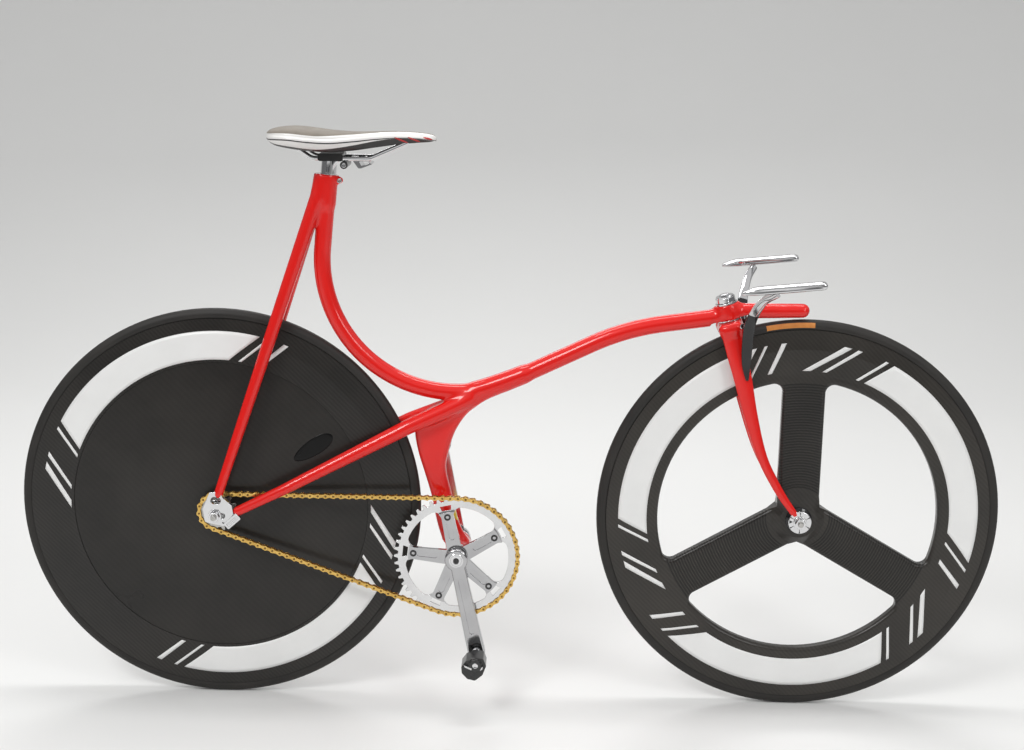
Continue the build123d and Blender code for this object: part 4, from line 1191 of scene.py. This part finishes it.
# Saddle
SADDLE_ROWS = (
    # x from the middle, half width, crown height, edge height, side foot height, half width at the foot
    (-113.0, 12.0, -3.0, -6.0, -12.0, 10.0),
    (-106.0, 38.0, 1.5, -6.0, -16.0, 33.0),
    (-92.0, 57.0, 4.5, -5.0, -21.0, 50.0),
    (-70.0, 66.0, 6.0, -5.0, -25.0, 54.0),
    (-42.0, 64.0, 4.0, -8.0, -29.0, 48.0),
    (-10.0, 52.0, 0.6, -10.0, -31.0, 36.0),
    (25.0, 37.0, -1.0, -8.0, -29.0, 26.0),
    (60.0, 27.0, 0.0, -5.5, -24.0, 20.0),
    (95.0, 21.0, 0.8, -4.5, -19.0, 16.0),
    (125.0, 18.0, 0.0, -5.5, -16.0, 13.0),
    (146.0, 14.0, -2.5, -7.5, -14.5, 10.0),
    (155.5, 5.0, -6.0, -9.0, -12.0, 4.0),
)


def saddle():
    """A one-piece racing saddle: suede top, white leather edge and side, black shell below."""
    rows = between(SADDLE_ROWS, 6)
    rings = []
    zones = []
    top_steps = 10
    for x, half, crown, edge, foot, low_half in rows:
        ring = []
        zone = []
        suede = 0.86 - 0.50 * min(max((x + 30.0) / 130.0, 0.0), 1.0)
        for i in range(top_steps + 1):
            share = i / top_steps
            if i <= top_steps - 3:
                share = suede * i / (top_steps - 3)
            else:
                share = suede + (1 - suede) * (i - top_steps + 3) / 3
            y = half * 0.90 * sin(share * pi / 2)
            ring.append((y, edge + (crown - edge) * (1 - share ** 2.4)))
            zone.append(0 if i <= top_steps - 3 else 1)
        panel = 0.72 - 0.69 * min(max((x + 30.0) / 115.0, 0.0), 1.0)
        tuck = 0.42 if panel > 0.6 else 0.70 * panel
        slim = 1.0 - 0.45 * min(max((x - 30.0) / 80.0, 0.0), 1.0)
        low = edge - 6.8 * slim
        side_line = (
            (half * 0.965, edge - 1.0 * slim, 1), (half, edge - 3.2 * slim, 1),
            (half * 0.997, edge - 5.4 * slim, 1), (half * 0.994, edge - 6.3 * slim, 2),
            (half * 0.988, edge - 7.4 * slim, 1),
            (half - (half - low_half) * tuck * 0.7, low + (foot - low) * panel * 0.49, 1),
            (half - (half - low_half) * tuck, low + (foot - low) * panel, 1),
            (half - (half - low_half) * 0.80, edge + (foot - edge) * 0.90, 3),
            (low_half, foot, 3), (low_half - 2.2, foot + 0.6, 3),
            (low_half * 0.6, edge + (foot - edge) * 0.45, 3), (0.0, edge + (foot - edge) * 0.35, 3),
        )
        for y, z, mark in side_line:
            ring.append((y, z))
            zone.append(mark)
        rings.append(ring)
        zones.append(zone)
    count = len(rings[0])
    full = []
    for (x, *_), ring in zip(rows, rings):
        loop = [place(SADDLE_X + x, y, SADDLE_Z + z) for y, z in ring]
        loop += [place(SADDLE_X + x, -y, SADDLE_Z + z) for y, z in reversed(ring[1:-1])]
        full.append(loop)
    verts, faces = skin(full)
    made = piece("saddle_cover", verts, faces, "frame", SADDLE_GREY, ("saddle",), 60.0)
    for material in (SADDLE_WHITE, SADDLE_BLACK):
        made.data.materials.append(material)
    around = 2 * count - 2
    colour_of = {0: 0, 1: 1, 2: 2, 3: 2}
    for face in made.data.polygons:
        lowest = []
        for v in face.vertices:
            j = v % around
            lowest.append(zones[v // around][j if j < count else around - j])
        mark = max(lowest) if len(face.vertices) == 4 else 1
        face.material_index = colour_of[mark]
    return made


# Machined metal, as packed with its edges rounded
MACHINED = (
    ("headset_races", "chrome", CHROME, 0.5),
    ("headset_locknut", "polished_alloy", CHROME, 0.7),
    ("fork_end_left", "chrome", CHROME, 0.8),
    ("fork_end_right", "chrome", CHROME, 0.8),
    ("bracket_cups", "polished_alloy", POLISHED, 0.6),
    ("dropout_left", "chrome", CHROME, 0.7),
    ("dropout_right", "chrome", CHROME, 0.7),
    ("tensioner_left", "polished_alloy", CHROME, 0.4),
    ("tensioner_right", "polished_alloy", CHROME, 0.4),
    ("rear_axle", "steel", STEEL, 0.4),
    ("rear_axle_nuts", "steel", CHROME, 0.6),
    ("front_axle", "steel", STEEL, 0.4),
    ("front_axle_nuts", "steel", CHROME, 0.6),
    ("seat_post", "polished_alloy", CHROME, 0.8),
    ("seat_clamp", "black_plastic", BLACK_METAL, 1.2),
    ("seat_rails", "steel", CHROME, 0.5),
    ("front_hub", "polished_alloy", DARK_HUB_AND_POST_REFLECTION, 0.7),
    ("rear_hub", "polished_alloy", POLISHED, 0.7),
    ("rear_cog", "steel", STEEL, 0.35),
    ("lockring", "steel", CHROME, 0.5),
    ("chainring", "polished_alloy", POLISHED, 0.35),
    # Same polished alloy as the left crank, darkened as a painted dark reflection.
    ("crank_right", "polished_alloy", CRANK_PAINTED_DARK_REFLECTION, 1.1),
    ("crank_left", "polished_alloy", POLISHED, 1.1),
    ("crank_spindle", "steel", STEEL, 0.5),
    ("pedal_axle_left", "steel", CHROME, 0.5),
    ("pedal_axle_right", "steel", CHROME, 0.5),
    ("pedal_left", "black_plastic", BLACK_METAL, 1.0),
    ("pedal_right", "black_plastic", BLACK_METAL, 1.0),
)

# Small fasteners and graphics
RING_BOLT_R = 72.0
RING_BOLT_AT = -77.65
SPIDER_FACE = 49.4
CRANK_FACE = 62.4
CRANK_LEAN = radians(12.35)
CRANK_LENGTH = 165.0
CAP_FACE = 38.0
COVER_AT = 34.0
COVER_R = (150.0, 226.0)
COVER_HALF = 16.0
SLASHES = (
    # from and to, as x and height of the bicycle
    ((290.7, 950.7), (311.7, 942.0)), ((311.7, 951.1), (330.8, 944.0)), ((336.0, 951.0), (350.0, 947.6)),
)
PATCH_AT = (88.1, 101.9)
PATCH_TURN = (38.8, 99.0)


def crank_fasteners():
    """Chainring bolts on the spider, and a ringed cap over each end of the crank axle."""
    bolts = Heap()
    for k in range(5):
        turn = radians(RING_BOLT_AT + 72.0 * (k + 0.5))
        x = BRACKET_X + RING_BOLT_R * cos(turn)
        z = BRACKET_Z + RING_BOLT_R * sin(turn)
        bolts.add(spun(socket_bolt(5.6, 1.2, 2.9), (x, -SPIDER_FACE, z), (0, -1, 0)))
    piece("ring_bolts", bolts.verts, bolts.faces, "crankset", BLACK_METAL)
    caps = Heap()
    hearts = Heap()
    for side in (-1, 1):
        spot = (BRACKET_X, side * CRANK_FACE, BRACKET_Z)
        out = (0, side, 0)
        caps.add(spun((
            (12.0, -0.5, 0), (12.0, 0.5, 0), (11.6, 0.8, 0), (9.6, 0.8, 0), (9.3, 0.45, 0), (8.9, 0.45, 0),
            (8.6, 0.9, 0), (5.4, 1.1, 0), (5.0, 0.9, 0), (5.0, 0.2, 0),
        ), spot, out, 36))
        hearts.add(spun((
            (4.9, 0.1, 0), (4.9, 0.5, 0), (4.5, 0.8, 0), (3.0, 0.8, 6), (3.0, 0.3, 6),
        ), spot, out, 24))
    piece("crank_caps", caps.verts, caps.faces, "crankset", CHROME)
    piece("crank_cap_hearts", hearts.verts, hearts.faces, "crankset", BLACK_METAL)


def hub_caps():
    """Thin dark parting lines between the lobes of each fork end. A ring round each nut is shaped too, but
    not made into a piece.
    """
    lines = Heap()
    rings = Heap()
    for side in (-1, 1):
        low, high = sorted((side * (CAP_FACE - 0.3), side * (CAP_FACE + 0.12)))
        for k in range(6):
            turn = radians(30.0 + 60.0 * k)
            ahead = np.array((cos(turn), sin(turn)))
            over = np.array((-sin(turn), cos(turn)))
            outline = []
            for reach, half in ((11.6, 0.35), (15.0, 0.6), (18.2, 1.1)):
                outline.append(np.array((WHEELBASE, WHEEL_R)) + ahead * reach + over * half)
            for reach, half in ((18.2, -1.1), (15.0, -0.6), (11.6, -0.35)):
                outline.append(np.array((WHEELBASE, WHEEL_R)) + ahead * reach + over * half)
            lines.add(plate_mesh(outline, low, high, 0.05))
        wedge = [np.array((WHEELBASE - a, WHEEL_R + b)) for a, b in ((11.5, 1.5), (17.6, 4.4), (17.6, -1.8))]
        lines.add(plate_mesh(wedge, low, high, 0.05))
        rings.add(spun((
            (11.3, 0.2, 0), (11.3, 0.9, 0), (10.9, 1.3, 0), (9.9, 1.3, 0), (9.6, 0.9, 0),
        ), (WHEELBASE, side * CAP_FACE, WHEEL_R), (0, side, 0), 36))
    piece("fork_end_lines", lines.verts, lines.faces, "steering", BLACK_METAL, (), 30.0)


STEM_TOP = 391.3


def head_fasteners():
    """The stem bolt on its plate, and a bolt at the foot of each bar post."""
    bright = Heap()
    up = steer(0, 0, 1)
    foot = steer(0, 0, 0)
    rise = tuple(a - b for a, b in zip(up, foot))
    top = steer(0, 0, STEM_TOP)
    bright.add(spun((
        (15.0, 0.0, 0), (15.0, 1.6, 0), (14.2, 2.4, 0), (9.5, 2.4, 0), (9.0, 2.1, 6),
    ), top, rise, 36))
    bright.add(spun((
        (8.6, 1.0, 6), (8.6, 4.0, 6), (7.8, 5.0, 6), (5.6, 5.4, 0), (5.2, 5.2, 6), (4.8, 2.8, 6),
    ), top, rise, 36))
    piece("stem_bolt", bright.verts, bright.faces, "steering", CHROME, (), 30.0)
    posts = Heap()
    for side in (-1, 1):
        spot = (851.4, side * 33.0, 660.9)
        posts.add(spun(socket_bolt(4.6, 2.4, 2.3), spot, (0, side, 0)))
    piece("post_bolts", posts.verts, posts.faces, "steering", CHROME)


CLAMP_X = 211.0
CLAMP_Z = 906.0


def seat_fasteners():
    """The clamp's bolt and barrel, the pinch bolt in the seat tube's ear, and the post's front horn."""
    dark = Heap()
    bright = Heap()
    for side in (-1, 1):
        bright.add(spun(socket_bolt(4.0, 1.8, 2.2), (CLAMP_X, side * 25.0, CLAMP_Z), (0, side, 0)))
        out = (0, side, 0)
        barrel_end = ((6.2, -4.0, 0), (6.2, 0.0, 0), (5.6, 0.5, 0), (4.4, 0.5, 0))
        dark.add(spun(barrel_end, (CLAMP_X, side * 24.6, CLAMP_Z), out))
    dark.add(spun(((6.2, 0.0, 0), (6.2, 42.0, 0)), (CLAMP_X, -21.0, CLAMP_Z), (0, 1, 0)))
    ear = np.array((SEAT_TOP[0], 0.0, SEAT_TOP[1])) - np.array(SEAT_UP) * 8.0
    ear = ear + np.array((cos(SEAT_LEAN), 0.0, -sin(SEAT_LEAN))) * 19.0
    for side in (-1, 1):
        bright.add(spun(socket_bolt(3.9, 1.6, 2.0), (ear[0], side * 7.3, ear[2]), (0, side, 0)))
    piece("clamp_barrel", dark.verts, dark.faces, "frame", BLACK_METAL)
    piece("seat_bolts", bright.verts, bright.faces, "frame", CHROME)
    rows = between(((188.5, 890.0, 6.0), (189.5, 900.0, 5.5), (194.5, 909.0, 5.0), (205.0, 915.5, 4.6)), 6)
    rings = []
    for i, (x, z, half) in enumerate(rows):
        ahead = rows[min(i + 1, len(rows) - 1)] - rows[max(i - 1, 0)]
        lean = atan2(ahead[1], ahead[0])
        ring = []
        for a, b in oval(half, 10.5, 2.8):
            ring.append(place(x - a * sin(lean), b, z + a * cos(lean)))
        rings.append(ring)
    verts, faces = skin(rings)
    piece("post_horn", verts, faces, "frame", CHROME, (), 50.0)


def saddle_slashes(cover):
    """Three short red slashes on each side of the saddle's nose."""
    finder = ray_down(cover)
    heap = Heap()
    for side in (-1, 1):
        for start, end in SLASHES:
            start = np.array(start)
            end = np.array(end)
            over = np.array((start[1] - end[1], end[0] - start[0]))
            over = over / np.linalg.norm(over) * 1.3
            rings = []
            for i in range(9):
                share = i / 8
                narrow = 1.0 - 0.75 * abs(2 * share - 1) ** 3
                ring = []
                for across, lift in ((-1, 0.18), (0, 0.3), (1, 0.18), (1, -0.4), (0, -0.4), (-1, -0.4)):
                    spot = start + (end - start) * share + over * across * narrow
                    found = finder((spot[0], side * 90.0, spot[1]), (0.0, -side, 0.0), lift)
                    if found is None:
                        break
                    ring.append(found)
                if len(ring) == 6:
                    rings.append(ring)
            if len(rings) > 2:
                heap.add(skin(rings))
    piece("saddle_slashes", heap.verts, heap.faces, "frame", SADDLE_RED, (), 50.0)


def disc_side(radius):
    """How far the rear disc's side stands from the middle plane."""
    share = (radius - DISC_HUB_R) / (DISC_R - DISC_HUB_R)
    return DISC_HUB_HALF + (RIM_BULGE + DISC_LIFT - DISC_HUB_HALF) * share


def wheel_graphics():
    """The leaf-shaped valve cover on the disc, and an orange patch on the front tyre's casing."""
    middle = radians(COVER_AT)
    half_long = (COVER_R[1] - COVER_R[0]) / 2
    centre = (COVER_R[0] + COVER_R[1]) / 2
    verts = []
    faces = []
    around = 40
    levels = ((0.0, 0.3), (0.3, 0.3), (0.6, 0.3), (0.9, 0.3), (0.97, 0.22), (1.0, -0.1))
    for share, lift in levels:
        for i in range(around):
            turn = 2 * pi * i / around
            along = cos(turn) * half_long * share
            narrow = 1.0 - 0.28 * (1 - cos(turn)) / 2
            across = sin(turn) * COVER_HALF * share * narrow
            radius = hypot(centre + along, across)
            angle = middle + atan2(across, centre + along)
            spot = (radius * cos(angle), -disc_side(radius) - lift, WHEEL_R + radius * sin(angle))
            verts.append(place(*spot))
    for k in range(len(levels) - 1):
        for i in range(around):
            a = k * around + i
            b = k * around + (i + 1) % around
            faces.append((a, b, b + around, a + around))
    piece("valve_cover", verts, faces, "rear_wheel_set", COVER_BLACK, (), 40.0)
    patches = Heap()
    for side in (-1, 1):
        rings = []
        for i in range(13):
            turn = radians(PATCH_AT[0] + (PATCH_AT[1] - PATCH_AT[0]) * i / 12)
            ring = []
            for lift in (-0.3, 0.16):
                row = []
                for j in range(9):
                    roll = radians(PATCH_TURN[0] + (PATCH_TURN[1] - PATCH_TURN[0]) * j / 8)
                    radius = TYRE_MID + (TYRE_R + lift - 0.5) * cos(roll)
                    y = side * (TYRE_R + lift - 0.4) * sin(roll)
                    row.append(place(WHEELBASE + radius * cos(turn), y, WHEEL_R + radius * sin(turn)))
                ring.extend(row if lift < 0 else reversed(row))
            rings.append(ring)
        patches.add(skin(rings))
    verts, faces = patches.verts, patches.faces
    piece("tyre_patch", verts, faces, "front_wheel_set", ORANGE_LABEL, (), 60.0)


def pedal_fittings():
    """Bright spring plates and a screw at the outer side of each pedal."""
    for side, name in ((-1, "right"), (1, "left")):
        lean = CRANK_LEAN if side < 0 else CRANK_LEAN + pi
        x = BRACKET_X + CRANK_LENGTH * sin(lean)
        z = BRACKET_Z - CRANK_LENGTH * cos(lean)
        bright = Heap()
        for corners in (((-19, 1), (-17, -3), (-6, -8), (-5, -5)), ((8, -9), (12, -6), (13, -1), (10, -3))):
            outline = [np.array((x + dx, z + dz)) for dx, dz in corners]
            low, high = sorted((side * 100.0, side * 116.7))
            bright.add(plate_mesh(outline, low, high, 0.3))
        screw = ((4.6, -0.4, 0), (4.6, 0.4, 0), (3.9, 0.7, 0), (3.3, 0.3, 0))
        bright.add(spun(screw, (x, side * 116.4, z), (0, side, 0)))
        body = name + "_pedal"
        piece("pedal_fittings_" + name, bright.verts, bright.faces, body, CHROME)


# Floor, light and camera
FLOOR_Z = -SADDLE_Z * MM
SWEEP_BACK = 2.2
SWEEP_RISE = 3.4
SWEEP_HALF = 10.0
SWEEP_NEAR = -10.0
SWEEP_TOP = 7.0
SKY_STRENGTH = 0.66
SKY_LOW = 0.12
SKY_HIGH = 0.55
SKY_GREY = (0.26, 0.26, 0.265, 1.0)
SKY_WHITE = (1.0, 1.0, 1.0, 1.0)
# The floor's painted shade, a fall to grey: where it starts and ends in metres, and its brightness there
PAINTED_SHADE_FRONT = (-1.0, -5.0, 1.0, 0.42)
PAINTED_SHADE_SIDE = (3.4, 8.5, 1.0, 0.5)


def floor_finish():
    """Pale paper with painted shade: it falls off to grey far in front of the bicycle and far to its sides.
    """
    material = finish_of(
        "Pale floor", (0.80, 0.80, 0.79), (0.77, 0.77, 0.76), (0.55, 0.70), patches=(1.5, 1.0),
    )
    tree = material.node_tree
    axes = axes_of(tree)
    ahead = ranged(tree, axes["Y"], *PAINTED_SHADE_FRONT, interpolation_type="SMOOTHSTEP")
    aside = ranged(tree, calc(tree, "ABSOLUTE", axes["X"]), *PAINTED_SHADE_SIDE, interpolation_type="SMOOTHSTEP")
    shaded(tree, tree.nodes["Principled BSDF"], calc(tree, "MINIMUM", ahead, aside))
    return material


def studio():
    """A pale floor that sweeps up into a pale wall, and soft lamps."""
    steps = 24
    line = [(SWEEP_NEAR, FLOOR_Z)]
    for i in range(steps + 1):
        turn = pi / 2 * i / steps
        line.append((SWEEP_BACK + SWEEP_RISE * sin(turn), FLOOR_Z + SWEEP_RISE * (1 - cos(turn))))
    line.append((SWEEP_BACK + SWEEP_RISE, SWEEP_TOP))
    verts = []
    faces = []
    for y, z in line:
        verts.extend([(-SWEEP_HALF, y, z), (SWEEP_HALF, y, z)])
    for i in range(len(line) - 1):
        faces.append((2 * i, 2 * i + 1, 2 * i + 3, 2 * i + 2))
    mesh = bpy.data.meshes.new("studio_floor")
    mesh.from_pydata(verts, [], faces)
    floor = bpy.data.objects.new("studio_floor", mesh)
    bpy.context.scene.collection.objects.link(floor)
    mesh.polygons.foreach_set("use_smooth", [True] * len(mesh.polygons))
    mesh.materials.append(floor_finish())

    world = bpy.data.worlds.new("Soft studio")
    bpy.context.scene.world = world
    world.use_nodes = True
    tree = world.node_tree
    sky = tree.nodes["Background"]
    sky.inputs["Strength"].default_value = SKY_STRENGTH
    axes = axes_of(tree, "Generated")
    rise = ranged(tree, axes["Z"], SKY_LOW, SKY_HIGH, 0.0, 1.0, interpolation_type="SMOOTHSTEP")
    shade = put(tree, "ShaderNodeMix", data_type="RGBA")
    shade.inputs[6].default_value = SKY_GREY
    shade.inputs[7].default_value = SKY_WHITE
    wire(tree, rise, shade.inputs[0])
    wire(tree, shade.outputs[2], sky.inputs["Color"])

    lamps = (
        # name, place, target, size, watts
        ("key", (-1.6, -2.6, 2.4), (0.3, 0.0, -0.5), (1.6, 0.9), 60.0),
        ("fill", (2.6, -2.4, 1.2), (0.3, 0.0, -0.5), (0.7, 1.8), 24.0),
        ("top", (0.3, 0.3, 2.8), (0.3, 0.0, -0.4), (3.0, 0.5), 44.0),
        ("rear", (0.0, 2.6, 1.6), (0.3, 0.0, -0.4), (2.4, 0.6), 26.0),
    )
    for name, spot, target, size, power in lamps:
        lamp = bpy.data.lights.new(name, "AREA")
        lamp.shape = "RECTANGLE"
        lamp.size, lamp.size_y = size
        lamp.energy = power
        holder = bpy.data.objects.new(name, lamp)
        bpy.context.scene.collection.objects.link(holder)
        holder.location = spot
        aim = Vector(target) - Vector(spot)
        holder.rotation_euler = aim.to_track_quat("-Z", "Y").to_euler()


def photo_camera():
    camera = bpy.data.cameras.new("Camera")
    camera.sensor_width = SENSOR
    camera.lens = SENSOR * FOCAL_PIXELS / PHOTO_WIDTH
    holder = bpy.data.objects.new("Camera", camera)
    bpy.context.scene.collection.objects.link(holder)
    turn = Matrix.Rotation(CAMERA_YAW, 4, "Z") @ Matrix.Rotation(-CAMERA_PITCH, 4, "X")
    turn = turn @ Matrix.Rotation(CAMERA_ROLL, 4, "Y") @ Matrix.Rotation(pi / 2, 4, "X")
    holder.matrix_world = Matrix.Translation(CAMERA_AT) @ turn
    bpy.context.scene.camera = holder


FINISHES = {
    "frame_red": RED_PAINT,
    "chrome": CHROME,
    "polished_alloy": POLISHED,
    "carbon": CARBON,
    "tyre_rubber": RUBBER,
    "chain_gold": GOLD,
    "steel": STEEL,
    "saddle_cover": SADDLE_GREY,
    "black_plastic": BLACK_METAL,
}
for node, made in frame["nodes"].items():
    slot = made.data.materials[0].name.split(".")[0]
    made.data.materials.clear()
    made.data.materials.append(FINISHES[slot])

frame["nodes"]["front_wheel"].data.materials[0] = CARBON_SPOKES
painted = painted_frame()
badge(painted)
painted_fork()
for row in MACHINED:
    machined(*row)
machined("rear_disc", "carbon", CARBON_DISC, 0.6)
crank_fasteners()
hub_caps()
head_fasteners()
seat_fasteners()
wheel_graphics()
pedal_fittings()
for side, name in ((1, "left"), (-1, "right")):
    bar_post(side, name)
    handle(side, name)
tyre("rear_tyre", 0.0, "rear_wheel_set")
tyre("front_tyre", WHEELBASE, "front_wheel_set")
wheel_bands("rear_wheel_bands", 0.0, "rear_wheel_set", (66.9, 246.9), "disc")
wheel_bands("front_wheel_bands", WHEELBASE, "front_wheel_set", (96.5, 216.5, 336.5), "rim")
chain()
saddle_slashes(saddle())
studio()
photo_camera()
bpy.context.scene.view_settings.view_transform = "Standard"
